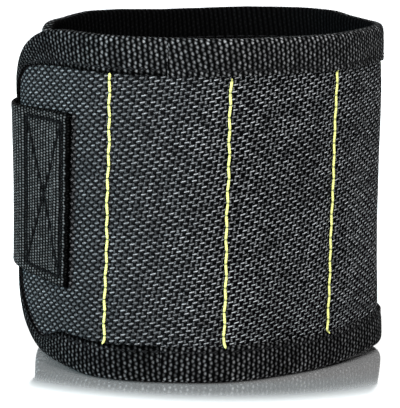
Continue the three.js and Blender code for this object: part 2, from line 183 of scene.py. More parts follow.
def tongue_outline():
    """The end flap's edge, from the first panel's middle along the top, round the tip and back along the bottom, with its inward direction and how wide the tape shows."""
    s = np.arange(TIP_S, (LINES[0] + LINES[1]) / 2 + 1e-6, 0.2)
    top = HEIGHT - 0.00153 * np.maximum(30.0 - s, 0) ** 2.78
    r = np.maximum(40.0 - s, 0)
    low = 0.11 * (r - 4.0 * (1 - np.exp(-r / 4.0))) + 0.072 * np.maximum(21.0 - s, 0) ** 1.82
    tip = np.arange(top[0] - 0.2, low[0], -0.2)
    line = np.concatenate(
        [np.column_stack([s, top])[::-1], np.column_stack([np.full(len(tip), TIP_S), tip]), np.column_stack([s, low])]
    )
    run = np.concatenate([[0], np.cumsum(np.hypot(*np.diff(line, axis=0).T))])
    q = np.linspace(0, run[-1], int(run[-1] / 0.25) + 1)
    line = np.column_stack([np.interp(q, run, line[:, 0]), np.interp(q, run, line[:, 1])])
    # ease the turns at the tip
    w = np.arange(-36, 37)
    g = np.exp(-0.5 * (w / 12.0) ** 2)
    g /= g.sum()
    eased = np.column_stack([np.convolve(np.pad(line[:, i], 36, mode="edge"), g, mode="valid") for i in (0, 1)])
    keep = smooth((line[:, 0] - 32.0) / 8.0)[:, None]
    line = line * keep + eased * (1 - keep)
    line = line[:: 4] if (len(line) - 1) % 4 == 0 else np.concatenate([line[::4], line[-1:]])
    d = np.gradient(line, axis=0)
    d /= np.linalg.norm(d, axis=1, keepdims=True)
    wide = np.where(
        line[:, 1] > MID,
        np.interp(line[:, 0], [3.0, 7.5, 13.4, 20.0, 30.0], [0.30, 0.42, 0.80, 0.97, 1.0]),
        np.interp(line[:, 0], [10.0, 18.0, 23.0, 28.0, 36.0], [0.30, 0.38, 0.70, 0.95, 1.0]),
    )
    return np.column_stack([line, -d[:, 1], d[:, 0], wide])


TONGUE = tongue_outline()
HEM = TONGUE[:, :2] + 1.2 * TONGUE[:, 2:4]  # the cloth's own edge inside the binding
HEM_TIP = int(np.argmin(HEM[:, 0]))


def corner_in(s, upper):
    """How far the cloth's upper or lower edge draws in at the two rounded ends."""
    s = np.asarray(s, float)
    if upper:
        out = HEIGHT - 1.2 - np.interp(s, HEM[HEM_TIP::-1, 0], HEM[HEM_TIP::-1, 1])
    else:
        out = np.interp(s, HEM[HEM_TIP:, 0], HEM[HEM_TIP:, 1]) - 1.2
    out = np.where(s < LINES[1], np.maximum(out, 0), 0)
    a, b = INNER_CORNER
    x = np.clip(1 - (END - 1.2 - s) / (a - 1.2), 0, 1)
    return np.maximum(out, (b - 1.2) * (1 - np.sqrt(np.maximum(1 - x * x, 0))))


def pocket_mask(s):
    s = np.asarray(s, float)
    return smooth((s - LINES[0]) / 4.0) * smooth((LINES[5] + 0.5 - s) / 4.0)


MAGNETS = [((LINES[i] + LINES[i + 1]) / 2, MID + k * 22.0) for i in range(5) for k in (-1, 0, 1)]


def shell_n(s, z):
    """Outer face of the shell cloth."""
    d = line_distance(s)
    between = smooth((z - BIND) / 9.0) * smooth((HEIGHT - BIND - z) / 9.0)
    pock = pocket_mask(s)
    n = 0.52 * np.exp(-((d / 1.25) ** 2)) * (1 + 0.25 * np.cos(2 * np.pi * (z - 11.3) / 3.2))
    n = n - 0.42 * pock * (1 - np.exp(-((d / 6.5) ** 2))) * between
    for ms, mz in MAGNETS:
        r = np.hypot(s - ms, z - mz)
        n = n - 0.10 * (1 - smooth((r - 7.0) / 4.0))
    n = n - 0.13 * ripple(s, z) * between
    # fine tucks that run out from the yellow thread
    n = n + 0.07 * np.exp(-np.abs(d) / 2.6) * np.sin(2 * np.pi * z / 3.2 + 3.0 * np.sin(s * 0.7)) * between
    return n


def lining_n(s, z):
    """The lining's face towards the wrist."""
    d = line_distance(s)
    pock = pocket_mask(s)
    rise = smooth((z - 10.2) / 4.2) * smooth((HEIGHT - 10.2 - z) / 4.2)
    full = 1.95 + 2.25 * pock * rise * (1 - 0.92 * np.exp(-((d / 3.2) ** 2)))
    return full + 0.10 * ripple(s * 1.6, z * 1.5, 2.0) * rise


# ---------------------------------------------------------------- mesh helpers
def new_object(name, verts, faces, flat, materials, face_mats=None, sharp=48.0):
    """verts in mm, faces as lists of vertex numbers, flat = (along, across, side) for each vertex in mm."""
    mesh = bpy.data.meshes.new(name)
    mesh.from_pydata((np.asarray(verts, float) * MM).tolist(), [], faces)
    mesh.update()
    a = mesh.attributes.new("flat", "FLOAT_VECTOR", "POINT")
    a.data.foreach_set("vector", np.asarray(flat, np.float32).ravel())
    for m in materials:
        mesh.materials.append(m)
    if face_mats is not None:
        mesh.polygons.foreach_set("material_index", np.asarray(face_mats, np.int32))
    mesh.polygons.foreach_set("use_smooth", np.ones(len(mesh.polygons), bool))
    mesh.set_sharp_from_angle(angle=math.radians(sharp))
    obj = bpy.data.objects.new(name, mesh)
    scene.collection.objects.link(obj)
    return obj


def grid_solid(front, rear, flat):
    """A closed body from a front grid and a rear grid (nu, nv, 3). Seen from the front, u runs right and v runs up."""
    nu, nv = front.shape[:2]
    verts = np.concatenate([front.reshape(-1, 3), rear.reshape(-1, 3)])
    f3 = flat.reshape(-1, 2)
    flats = np.concatenate(
        [np.column_stack([f3, np.zeros(len(f3))]), np.column_stack([f3, np.ones(len(f3))])]
    )
    i, j = np.meshgrid(np.arange(nu - 1), np.arange(nv - 1), indexing="ij")
    a = (i * nv + j).ravel()
    b, c, d = a + nv, a + nv + 1, a + 1
    o = nu * nv
    faces = [np.column_stack([a, b, c, d]), np.column_stack([a + o, d + o, c + o, b + o])]
    k = np.arange(nu - 1)
    low, high = k * nv, k * nv + nv - 1
    faces.append(np.column_stack([low, low + o, low + nv + o, low + nv]))
    faces.append(np.column_stack([high, high + nv, high + nv + o, high + o]))
    k = np.arange(nv - 1)
    left, rt = k, (nu - 1) * nv + k
    faces.append(np.column_stack([left, left + 1, left + 1 + o, left + o]))
    faces.append(np.column_stack([rt, rt + o, rt + 1 + o, rt + 1]))
    return verts, np.concatenate(faces).tolist(), flats


def tube_grid(rings, flat, caps=True):
    """A closed body from rings of points (count, around, 3): each ring is closed, the ends are capped with a face."""
    count, around = rings.shape[:2]
    verts = rings.reshape(-1, 3)
    i, j = np.meshgrid(np.arange(count - 1), np.arange(around), indexing="ij")
    i, j = i.ravel(), j.ravel()
    a, b = i * around + j, i * around + (j + 1) % around
    faces = np.column_stack([a, b, b + around, a + around]).tolist()
    if caps:
        faces.append(list(range(around))[::-1])
        faces.append([(count - 1) * around + k for k in range(around)])
    return verts, faces, flat.reshape(-1, 3)


def joined(parts):
    """Several (verts, faces, flats, material number) as one."""
    verts, faces, flats, mats, base = [], [], [], [], 0
    for v, f, fl, m in parts:
        verts.append(np.asarray(v, float))
        faces.extend([[k + base for k in face] for face in f])
        flats.append(np.asarray(fl, float))
        mats.extend([m] * len(f))
        base += len(v)
    return np.concatenate(verts), faces, np.concatenate(flats), mats


def stitches(a, b, lift, width, height, around=8, rings=7, twist=2.4, ply=0.10, ends=0.38):
    """One thread stitch from each a to each b (k, 3), standing up along lift (k, 3). Rounded, with a two-ply twist, its ends sunk in the cloth."""
    a, b, lift = (np.asarray(x, float) for x in (a, b, lift))
    along = b - a
    length = np.linalg.norm(along, axis=1, keepdims=True)
    t_dir = along / length
    side = np.cross(t_dir, lift)
    side /= np.linalg.norm(side, axis=1, keepdims=True)
    upw = np.cross(side, t_dir)
    t = (1 - np.cos(np.linspace(0, np.pi, rings))) / 2
    t = t * 0.96 + 0.02
    env = np.sin(np.pi * t) ** ends
    arch = np.sin(np.pi * t) ** 0.7
    th = np.linspace(0, 2 * np.pi, around, endpoint=False)
    parts = []
    for k in range(len(a)):
        centre = a[k] + along[k] * t[:, None] + upw[k] * ((arch - 0.75) * height * 0.5)[:, None]
        ph = th[None, :] + 0.0 * t[:, None]
        r = 1 + ply * np.cos(2 * (ph - twist * 2 * np.pi * t[:, None] * 0.5))
        ring = (
            centre[:, None, :]
            + side[k] * (np.cos(ph) * r * env[:, None] * width / 2)[..., None]
            + upw[k] * (np.sin(ph) * r * env[:, None] * height / 2)[..., None]
        )
        flat = np.stack(
            [
                np.broadcast_to(t[:, None] * length[k], ph.shape) + k * 3.7,
                ph / (2 * np.pi) * 3.0,
                np.full(ph.shape, float(k % 7)),
            ],
            -1,
        )
        parts.append((*tube_grid(ring, flat), 0))
    return parts


def cord(points, lift, width, height, mark, around=10):
    """One running thread through points (m, 3): flattened, with rounded ends."""
    points, lift = np.asarray(points, float), np.asarray(lift, float)
    t_dir = np.gradient(points, axis=0)
    t_dir /= np.linalg.norm(t_dir, axis=1, keepdims=True)
    side = np.cross(t_dir, lift)
    side /= np.linalg.norm(side, axis=1, keepdims=True)
    upw = np.cross(side, t_dir)
    run = np.concatenate([[0], np.cumsum(np.linalg.norm(np.diff(points, axis=0), axis=1))])
    end = np.sqrt(np.clip(np.minimum(run, run[-1] - run) / 0.5, 0.06, 1))
    th = np.linspace(0, 2 * np.pi, around, endpoint=False)
    w = (np.asarray(width) * np.ones(len(points)) * end / 2)[:, None, None]
    h = (np.asarray(height) * np.ones(len(points)) * end / 2)[:, None, None]
    rings = points[:, None] + side[:, None] * np.cos(th)[None, :, None] * w + upw[:, None] * np.sin(th)[None, :, None] * h
    flat = np.stack(
        [
            np.broadcast_to(run[:, None], rings.shape[:2]),
            np.broadcast_to(th[None] / (2 * np.pi) * 3.0, rings.shape[:2]),
            np.broadcast_to(np.asarray(mark, float)[:, None], rings.shape[:2]),
        ],
        -1,
    )
    return (*tube_grid(rings, flat), 0)


def disc(s, z, radius, depth, n0, around=40):
    """A flat disc under the cloth with its near face at n0."""
    centre = at(s, n0, z)
    along = at(s, n0 + 1.0, z) - centre
    upw = np.array([0.0, 0.0, 1.0])
    side = np.cross(along, upw)
    th = np.linspace(0, 2 * np.pi, around, endpoint=False)
    rings, flats = [], []
    for r, d in ((radius - 0.3, 0.0), (radius, 0.22), (radius, depth - 0.22), (radius - 0.3, depth)):
        rings.append(centre + along * d + (np.cos(th)[:, None] * side + np.sin(th)[:, None] * upw) * r)
        flats.append(np.column_stack([np.cos(th) * r, np.sin(th) * r, np.full(around, d)]))
    return tube_grid(np.array(rings), np.array(flats))


def stations(lo, hi, step, near=(), fine=0.35, reach=3.0):
    marks = list(np.linspace(lo, hi, max(2, int(math.ceil((hi - lo) / step)) + 1)))
    for c in near:
        extra = np.arange(c - reach, c + reach + 1e-6, fine)
        keep = [m for m in marks if m < c - reach - fine * 0.6 or m > c + reach + fine * 0.6 or m in (lo, hi)]
        marks = keep + [e for e in extra if lo + 0.15 < e < hi - 0.15]
    return np.array(sorted(set(np.round(marks, 4))))


# binding: the tape's section as (n, e), from the free edge of the outer leg round the fold to the inner leg and back
SECTION = [
    (-0.62, 9.6), (-0.84, 9.42), (-0.92, 9.0), (-0.88, 8.6), (-0.74, 8.25), (-0.74, 7.95), (-0.88, 7.6),
    (-0.97, 6.7), (-1.0, 5.2), (-1.0, 3.6), (-0.98, 2.3), (-0.90, 1.4), (-0.74, 0.78), (-0.48, 0.34), (-0.1, 0.08),
    (0.4, 0.0), (0.95, 0.0), (1.5, 0.0), (2.05, 0.06), (2.45, 0.25), (2.7, 0.65), (2.8, 1.3), (2.86, 2.3), (2.88, 3.6),
    (2.88, 5.2), (2.85, 6.7), (2.74, 7.6), (2.6, 7.95), (2.6, 8.25), (2.74, 8.6), (2.78, 9.0), (2.7, 9.42), (2.48, 9.6),
    (2.2, 9.5), (2.15, 8.1), (2.12, 5.5), (2.1, 3.0), (1.95, 1.8), (1.5, 1.15), (0.95, 0.95),
    (0.4, 1.15), (-0.05, 1.8), (-0.2, 3.0), (-0.2, 5.5), (-0.2, 8.1), (-0.28, 9.5),
]
SECTION = np.array(SECTION)
SECT_LEN = np.concatenate([[0], np.cumsum(np.linalg.norm(np.diff(SECTION, axis=0), axis=1))])
ROW_E, ROW_STEP = 8.1, 3.1
FOLD = (float(np.interp(1.1, SECTION[16:6:-1, 1], SECT_LEN[16:6:-1])), float(np.interp(0.15, SECTION[16:6:-1, 1], SECT_LEN[16:6:-1])))  # the fold's outer shoulder, along the section


# ---------------------------------------------------------------- materials
def tree(name):
    m = bpy.data.materials.new(name)
    m.use_nodes = True
    nt = m.node_tree
    nt.nodes.clear()
    out = nt.nodes.new("ShaderNodeOutputMaterial")
    bsdf = nt.nodes.new("ShaderNodeBsdfPrincipled")
    nt.links.new(bsdf.outputs[0], out.inputs[0])
    return m, nt, bsdf


class Net:
    """Short names for building node maths."""

    def __init__(self, nt):
        self.nt = nt

    def link(self, value, socket):
        if isinstance(value, (int, float)):
            socket.default_value = value
        elif isinstance(value, (tuple, list)):
            socket.default_value = value
        else:
            self.nt.links.new(value, socket)

    def m(self, op, a, b=None, c=None, clamp=False):
        n = self.nt.nodes.new("ShaderNodeMath")
        n.operation = op
        n.use_clamp = clamp
        for v, s in zip((a, b, c), n.inputs):
            if v is not None:
                self.link(v, s)
        return n.outputs[0]

    def step(self, v, lo, hi):
        n = self.nt.nodes.new("ShaderNodeMapRange")
        n.interpolation_type = "SMOOTHSTEP"
        self.link(v, n.inputs["Value"])
        n.inputs["From Min"].default_value, n.inputs["From Max"].default_value = lo, hi
        return n.outputs["Result"]

    def ramp(self, v, lo, hi, a, b):
        n = self.nt.nodes.new("ShaderNodeMapRange")
        self.link(v, n.inputs["Value"])
        n.inputs["From Min"].default_value, n.inputs["From Max"].default_value = lo, hi
        n.inputs["To Min"].default_value, n.inputs["To Max"].default_value = a, b
        return n.outputs["Result"]

    def mix(self, f, a, b):
        n = self.nt.nodes.new("ShaderNodeMix")
        n.data_type = "RGBA"
        self.link(f, n.inputs[0])
        self.link(a, n.inputs[6])
        self.link(b, n.inputs[7])
        return n.outputs[2]

    def scale_colour(self, c, f):
        n = self.nt.nodes.new("ShaderNodeMix")
        n.data_type = "RGBA"
        n.blend_type = "MULTIPLY"
        n.inputs[0].default_value = 1.0
        self.link(c, n.inputs[6])
        comb = self.nt.nodes.new("ShaderNodeCombineColor")
        for s in comb.inputs[:3]:
            self.link(f, s)
        self.nt.links.new(comb.outputs[0], n.inputs[7])
        return n.outputs[2]

    def flat(self):
        n = self.nt.nodes.new("ShaderNodeAttribute")
        n.attribute_name = "flat"
        sep = self.nt.nodes.new("ShaderNodeSeparateXYZ")
        self.nt.links.new(n.outputs["Vector"], sep.inputs[0])
        return n.outputs["Vector"], sep.outputs[0], sep.outputs[1], sep.outputs[2]

    def vec(self, x, y, z=0.0):
        n = self.nt.nodes.new("ShaderNodeCombineXYZ")
        for v, s in zip((x, y, z), n.inputs):
            self.link(v, s)
        return n.outputs[0]

    def noise(self, v, scale, detail=2.0, rough=0.5):
        n = self.nt.nodes.new("ShaderNodeTexNoise")
        self.link(v, n.inputs["Vector"])
        n.inputs["Scale"].default_value = scale
        n.inputs["Detail"].default_value = detail
        n.inputs["Roughness"].default_value = rough
        return n.outputs[0]

    def white(self, v):
        n = self.nt.nodes.new("ShaderNodeTexWhiteNoise")
        n.noise_dimensions = "3D"
        self.link(v, n.inputs["Vector"])
        return n.outputs[0]

    def bump(self, height, distance, strength, normal=None):
        n = self.nt.nodes.new("ShaderNodeBump")
        n.inputs["Strength"].default_value = strength
        n.inputs["Distance"].default_value = distance
        self.link(height, n.inputs["Height"])
        if normal is not None:
            self.nt.links.new(normal, n.inputs["Normal"])
        return n.outputs[0]


def woven(
    name, pitch, dark, mid, light, bump_mm, rough=(0.45, 0.85), jitter=0.5, patch=0.14, spec=0.3, wobble=0.06,
    strength=0.8, fuzz=0.25, lean=0.0, tilt=0.0, crowns=(0.7, 0.4), ground=0.6, skew=0.0, painted_light_start=None, fade=None,
):
    """Plain woven cloth in the strip's own flat millimetres: a stroke of painted highlight on every crown, level on the
    yarns that lie across and upright on the others, over dim yarn sides with dark holes between, these partly the
    yarn's own colour and partly painted shade. The first-stretch argument gives the first stretch other values, as
    painted light: dimmer crown highlights over a lighter ground. fade scales the tone along the strip.
    """
    mat, nt, bsdf = tree(name)
    k = Net(nt)
    flat, s, z, side = k.flat()
    # slightly wandering yarns
    wn = k.m("SUBTRACT", k.noise(flat, 0.12, 1.0), 0.5)
    wn2 = k.m("SUBTRACT", k.noise(flat, 0.7, 1.0), 0.5)
    s_, z_ = k.m("MULTIPLY_ADD", z, -lean, s), k.m("MULTIPLY_ADD", s, tilt, z)
    u = k.m("DIVIDE", k.m("ADD", s_, k.m("MULTIPLY_ADD", wn, wobble * 8, k.m("MULTIPLY", wn2, wobble * 6))), pitch[0])
    v = k.m("DIVIDE", k.m("ADD", z_, k.m("MULTIPLY_ADD", wn2, wobble * 2, k.m("MULTIPLY", wn, wobble * 5))), pitch[1])
    su = k.m("SINE", k.m("MULTIPLY", u, math.pi))
    sv = k.m("SINE", k.m("MULTIPLY", v, math.pi))
    over = k.m("MULTIPLY", k.m("MULTIPLY", su, sv), -1.0)  # above 0 where the level yarn is on top
    level = k.step(over, -0.03, 0.03)
    fu, fv = k.m("SUBTRACT", k.m("FRACT", u), 0.5), k.m("SUBTRACT", k.m("FRACT", v), 0.5)
    au, av = k.m("ABSOLUTE", fu), k.m("ABSOLUTE", fv)
    cell = k.vec(k.m("FLOOR", u), k.m("FLOOR", v), 3.0)
    row = k.vec(7.0, k.m("FLOOR", v), 1.0)
    column = k.vec(k.m("FLOOR", u), 11.0, 5.0)
    stray = k.m("MULTIPLY", k.m("SUBTRACT", k.white(k.vec(k.m("FLOOR", u), k.m("FLOOR", v), 8.0)), 0.5), skew)
    var = k.m("MULTIPLY_ADD", k.m("SUBTRACT", k.white(cell), 0.5), jitter * 1.5, 1.0)
    var = k.m("MULTIPLY", var, k.m("MULTIPLY_ADD", k.m("SUBTRACT", k.white(row), 0.5), jitter * 0.4, 1.0))
    var = k.m("MULTIPLY", var, k.m("MULTIPLY_ADD", k.m("SUBTRACT", k.white(column), 0.5), jitter * 0.4, 1.0))
    slow = k.m("MULTIPLY_ADD", k.m("SUBTRACT", k.noise(flat, 0.045, 3.0, 0.6), 0.5), patch * 2, 1.0)
    fib = k.noise(k.vec(k.m("MULTIPLY", s, 0.6), z, side), 7.0, 2.0)
    if fade:
        slow = k.m("MULTIPLY", slow, k.ramp(s, *fade))
    speck = k.ramp(k.noise(flat, 1.9, 2.0), 0.3, 0.7, 0.45, 1.55)
    lie = k.m("ABSOLUTE", k.m("ADD", k.m("MULTIPLY_ADD", fu, -skew * 0.8, fv), stray))
    stand = k.m("ABSOLUTE", k.m("ADD", k.m("MULTIPLY_ADD", fv, skew * 0.5, k.m("ADD", fu, skew)), stray))

    def inside(d, lo, hi):
        return k.m("SUBTRACT", 1.0, k.step(d, lo, hi))

    # painted highlight: a lit stroke on each crown, level on the lying yarns and upright on the others
    lying = k.m("MULTIPLY", level, k.m("MULTIPLY", inside(lie, 0.05, 0.24), inside(au, 0.32, 0.50)))
    standing = k.m("MULTIPLY", k.m("SUBTRACT", 1.0, level), k.m("MULTIPLY", inside(stand, 0.06, 0.24), inside(av, 0.36, 0.54)))
    # dark holes between the yarns: partly the cloth's own colour, partly painted shade
    hole = k.m("MULTIPLY", k.step(au, 0.12, 0.42), k.step(av, 0.10, 0.38))
    # painted light over the first stretch: dimmer crown highlights over a lighter ground
    if painted_light_start:
        first, last, low_a, low_b, low_g = painted_light_start
        lying = k.m("MULTIPLY", lying, k.ramp(s, first, last, low_a, crowns[0]))
        standing = k.m("MULTIPLY", standing, k.ramp(s, first, last, low_b, crowns[1]))
        face = k.ramp(s, first, last, low_g, ground)
    else:
        lying, standing, face = k.m("MULTIPLY", lying, crowns[0]), k.m("MULTIPLY", standing, crowns[1]), ground
    stroke = k.m("ADD", lying, standing)
    bright = k.m("MULTIPLY", k.m("MULTIPLY", stroke, var), k.m("MULTIPLY", speck, k.ramp(fib, 0.3, 0.7, 0.7, 1.3)), clamp=True)
    # dim sides on the upright yarns: partly painted shade
    yarn = k.m("MULTIPLY", k.m("MULTIPLY", k.m("SUBTRACT", 1.0, hole), k.m("MULTIPLY_ADD", level, 0.86, 0.14)), k.m("MULTIPLY", speck, face), clamp=True)
    colour = k.mix(yarn, (*dark, 1), (*mid, 1))
    colour = k.mix(bright, colour, (*light, 1))
    colour = k.scale_colour(colour, slow)
    nt.links.new(colour, bsdf.inputs["Base Color"])
    height = k.m("SUBTRACT", k.m("MULTIPLY_ADD", stroke, 0.5, k.m("MULTIPLY", fib, fuzz)), k.m("MULTIPLY", hole, 0.6))
    nt.links.new(k.bump(height, bump_mm * MM, strength), bsdf.inputs["Normal"])
    nt.links.new(k.ramp(bright, 0, 1, rough[1], rough[0]), bsdf.inputs["Roughness"])
    nt.links.new(k.ramp(bright, 0, 1, spec * 0.05, spec), bsdf.inputs["Specular IOR Level"])
    return mat


def ribbed(
    name, column, dot, group, dark, light, bump_mm, rough=(0.6, 0.85), jitter=0.3, patch=0.12, spec=0.2, bias=0.0,
    wobble=0.03, groove=(0.05, 0.32), inner=1.0, shade_at=(0.0, 1.0), strength=0.8, fuzz=0.3, stagger=0.5,
    size=(0.2, 0.95), lean=0.0, edges=None, seam_shade=None, uneven=0.5, zigzag=0.0, tall=1.0, broad=0.8, crest_highlight=None, fade=None, inner_tone=1.0, chain=0.0,
    hem_shade=None,
):
    """Narrow woven tape: upright columns of yarn dots, with a groove after each group of columns, darker in part as
    painted shade. inner dims the dots of the leg towards the wrist, inner_tone its ground; both are painted shade.
    """
    mat, nt, bsdf = tree(name)
    k = Net(nt)
    flat, s, z, side = k.flat()
    wn = k.m("SUBTRACT", k.noise(flat, 0.12, 1.0), 0.5)
    wn2 = k.m("SUBTRACT", k.noise(flat, 0.8, 1.0), 0.5)
    s_ = k.m("ADD", s, k.m("MULTIPLY_ADD", wn, wobble * 6, k.m("MULTIPLY", wn2, wobble * 2)))
    if lean:  # the columns lean one way and then the other along the tape
        sway = k.m("MULTIPLY", k.m("SUBTRACT", k.noise(k.vec(k.m("MULTIPLY", s, 0.02), 3.0, 1.0), 1.0, 1.0), 0.5), lean * 4)
        s_ = k.m("MULTIPLY_ADD", z, k.m("ADD", sway, bias), s_)
    u = k.m("DIVIDE", s_, column)
    cu = k.m("FLOOR", u)
    odd = k.m("MODULO", k.m("ABSOLUTE", cu), 2.0)
    v = k.m("MULTIPLY_ADD", odd, stagger, k.m("DIVIDE", k.m("MULTIPLY_ADD", wn2, wobble * 3, z), dot))
    sway_u = k.m("FRACT", u)
    if zigzag:  # the dots of a column stand a little left and right in turn
        sway_u = k.m("ADD", sway_u, k.m("MULTIPLY_ADD", k.m("MODULO", k.m("ABSOLUTE", k.m("FLOOR", v)), 2.0), 2 * zigzag, -zigzag))
    fu = k.m("MULTIPLY", k.m("ABSOLUTE", k.m("SUBTRACT", sway_u, 0.5)), 2.0)
    fv = k.m("MULTIPLY", k.m("ABSOLUTE", k.m("SUBTRACT", k.m("FRACT", v), 0.5)), 2.0)
    r = k.m("SQRT", k.m("ADD", k.m("MULTIPLY", k.m("MULTIPLY", fu, fu), broad), k.m("MULTIPLY", k.m("MULTIPLY", fv, fv), tall)))
    spot = k.m("SUBTRACT", 1.0, k.step(r, *size))
    if chain:  # the dots of a column hang together
        spot = k.m("MULTIPLY_ADD", spot, 1.0 - chain, k.m("MULTIPLY", k.m("SUBTRACT", 1.0, k.step(fu, 0.1, 0.75)), chain))
    near = k.m("DIVIDE", u, float(group))
    gap = k.m("MULTIPLY", k.m("ABSOLUTE", k.m("SUBTRACT", near, k.m("ROUND", near))), float(group))
    open_ = k.step(gap, *groove)
    height = k.m("MULTIPLY", k.m("MULTIPLY_ADD", spot, 0.7, 0.3), k.m("MULTIPLY_ADD", open_, 0.8, 0.2))
    cell = k.vec(cu, k.m("FLOOR", v), 3.0)
    column_ = k.vec(cu, 11.0, 5.0)
    var = k.m("MULTIPLY_ADD", k.m("SUBTRACT", k.white(cell), 0.5), jitter * 1.4, 1.0)
    var = k.m("MULTIPLY", var, k.m("MULTIPLY_ADD", k.m("SUBTRACT", k.white(column_), 0.5), jitter * uneven, 1.0))
    slow = k.m("MULTIPLY_ADD", k.m("SUBTRACT", k.noise(flat, 0.05, 3.0, 0.6), 0.5), patch * 2, 1.0)
    fleck = k.m("MULTIPLY", spot, open_)
    if crest_highlight:  # painted highlight: some columns catch the light where they turn over the fold
        turned = k.m("MULTIPLY", k.step(z, crest_highlight[0] - 0.35, crest_highlight[0]), k.m("SUBTRACT", 1.0, k.step(z, crest_highlight[1], crest_highlight[1] + 0.35)))
        lucky = k.step(k.white(k.vec(cu, 21.0, 9.0)), 0.45, 0.95)
        var = k.m("ADD", var, k.m("MULTIPLY", k.m("MULTIPLY", turned, lucky), crest_highlight[2]))
    lit = k.m("MULTIPLY", k.m("MULTIPLY", fleck, var), 0.5, clamp=True)
    # painted shade: dim the dots of the leg towards the wrist
    if inner != 1.0:
        lit = k.m("MULTIPLY", lit, k.ramp(side, *shade_at, 1.0, inner))
    colour = k.mix(lit, (*dark, 1), tuple(2 * c for c in light) + (1,))
    # darker in the grooves between columns: partly painted shade
    tone = k.m("MULTIPLY", slow, k.m("MULTIPLY_ADD", open_, 0.75, 0.25))
    if fade:
        tone = k.m("MULTIPLY", tone, k.ramp(s, *fade))
    # painted shade: dim the ground of the leg towards the wrist
    if inner_tone != 1.0:
        tone = k.m("MULTIPLY", tone, k.ramp(side, *shade_at, 1.0, inner_tone))
    if hem_shade:  # painted shade along the free edge of the outer leg, where it meets the cloth
        tone = k.m("MULTIPLY", tone, k.ramp(k.step(z, hem_shade[0], hem_shade[1]), 0, 1, hem_shade[2], 1.0))
    if edges:  # painted shade along both woven sides and the cut end
        rim = k.m("MINIMUM", k.m("MINIMUM", k.m("SUBTRACT", z, edges[0]), k.m("SUBTRACT", edges[1], z)), k.m("SUBTRACT", edges[2] + 0.4, s))
        tone = k.m("MULTIPLY", tone, k.ramp(k.step(rim, 0.3, 0.9), 0, 1, 0.06, 1.0))
    if seam_shade:  # painted shade along the pulled-down lines of the box-and-cross sewing
        hs, hz = (seam_shade[1] - seam_shade[0]) / 2, (seam_shade[3] - seam_shade[2]) / 2
        ds = k.m("ABSOLUTE", k.m("SUBTRACT", s, seam_shade[0] + hs))
        dz = k.m("ABSOLUTE", k.m("SUBTRACT", z, seam_shade[2] + hz))
        past = k.m("MAXIMUM", k.m("SUBTRACT", ds, hs), k.m("SUBTRACT", dz, hz))
        cross_ = k.m("MULTIPLY", k.m("ABSOLUTE", k.m("SUBTRACT", k.m("DIVIDE", ds, hs), k.m("DIVIDE", dz, hz))), hs * hz / math.hypot(hs, hz))
        cross_ = k.m("ADD", cross_, k.m("MULTIPLY", k.step(past, 0.0, 0.3), 9.0))
        near_ = k.m("MINIMUM", k.m("ABSOLUTE", past), cross_)
        tone = k.m("MULTIPLY", tone, k.ramp(k.step(near_, 0.25, 0.80), 0, 1, 0.05, 1.0))
    colour = k.scale_colour(colour, tone)
    nt.links.new(colour, bsdf.inputs["Base Color"])
    fib = k.noise(k.vec(s, z, side), 9.0, 2.0)
    nt.links.new(k.bump(k.m("MULTIPLY_ADD", fib, fuzz, height), bump_mm * MM, strength), bsdf.inputs["Normal"])
    nt.links.new(k.ramp(fleck, 0, 1, rough[1], rough[0]), bsdf.inputs["Roughness"])
    gloss = k.ramp(fleck, 0, 1, spec * 0.12, spec)
    if inner != 1.0:
        gloss = k.m("MULTIPLY", gloss, k.ramp(side, *shade_at, 1.0, inner))
    nt.links.new(gloss, bsdf.inputs["Specular IOR Level"])
    return mat


def thread(name, colour, deep, rough=0.55, gloss=0.15, pitch=0.75, holes=False):
    mat, nt, bsdf = tree(name)
    k = Net(nt)
    flat, s, a, num = k.flat()
    ply = k.m("ABSOLUTE", k.m("SINE", k.m("MULTIPLY", k.m("ADD", k.m("DIVIDE", s, pitch), k.m("MULTIPLY", a, 1 / 1.5)), math.pi)))
    fib = k.noise(k.vec(k.m("ADD", s, k.m("MULTIPLY", num, 13.0)), a, num), 5.0, 2.0)
    val = k.m("MULTIPLY", k.m("MULTIPLY_ADD", ply, 0.45, 0.55), k.m("MULTIPLY_ADD", fib, 0.5, 0.75), clamp=True)
    shade = k.mix(val, (*deep, 1), (*colour, 1))
    if holes:  # painted shade where the thread goes down into the cloth
        shade = k.scale_colour(shade, k.ramp(num, 0, 1, 1.0, 0.12))
    nt.links.new(shade, bsdf.inputs["Base Color"])
    nt.links.new(k.bump(k.m("MULTIPLY_ADD", fib, 0.3, ply), 0.00012, 0.7), bsdf.inputs["Normal"])
    nt.links.new(k.ramp(ply, 0, 1, min(rough + 0.2, 1), rough), bsdf.inputs["Roughness"])
    bsdf.inputs["Specular IOR Level"].default_value = gloss
    return mat


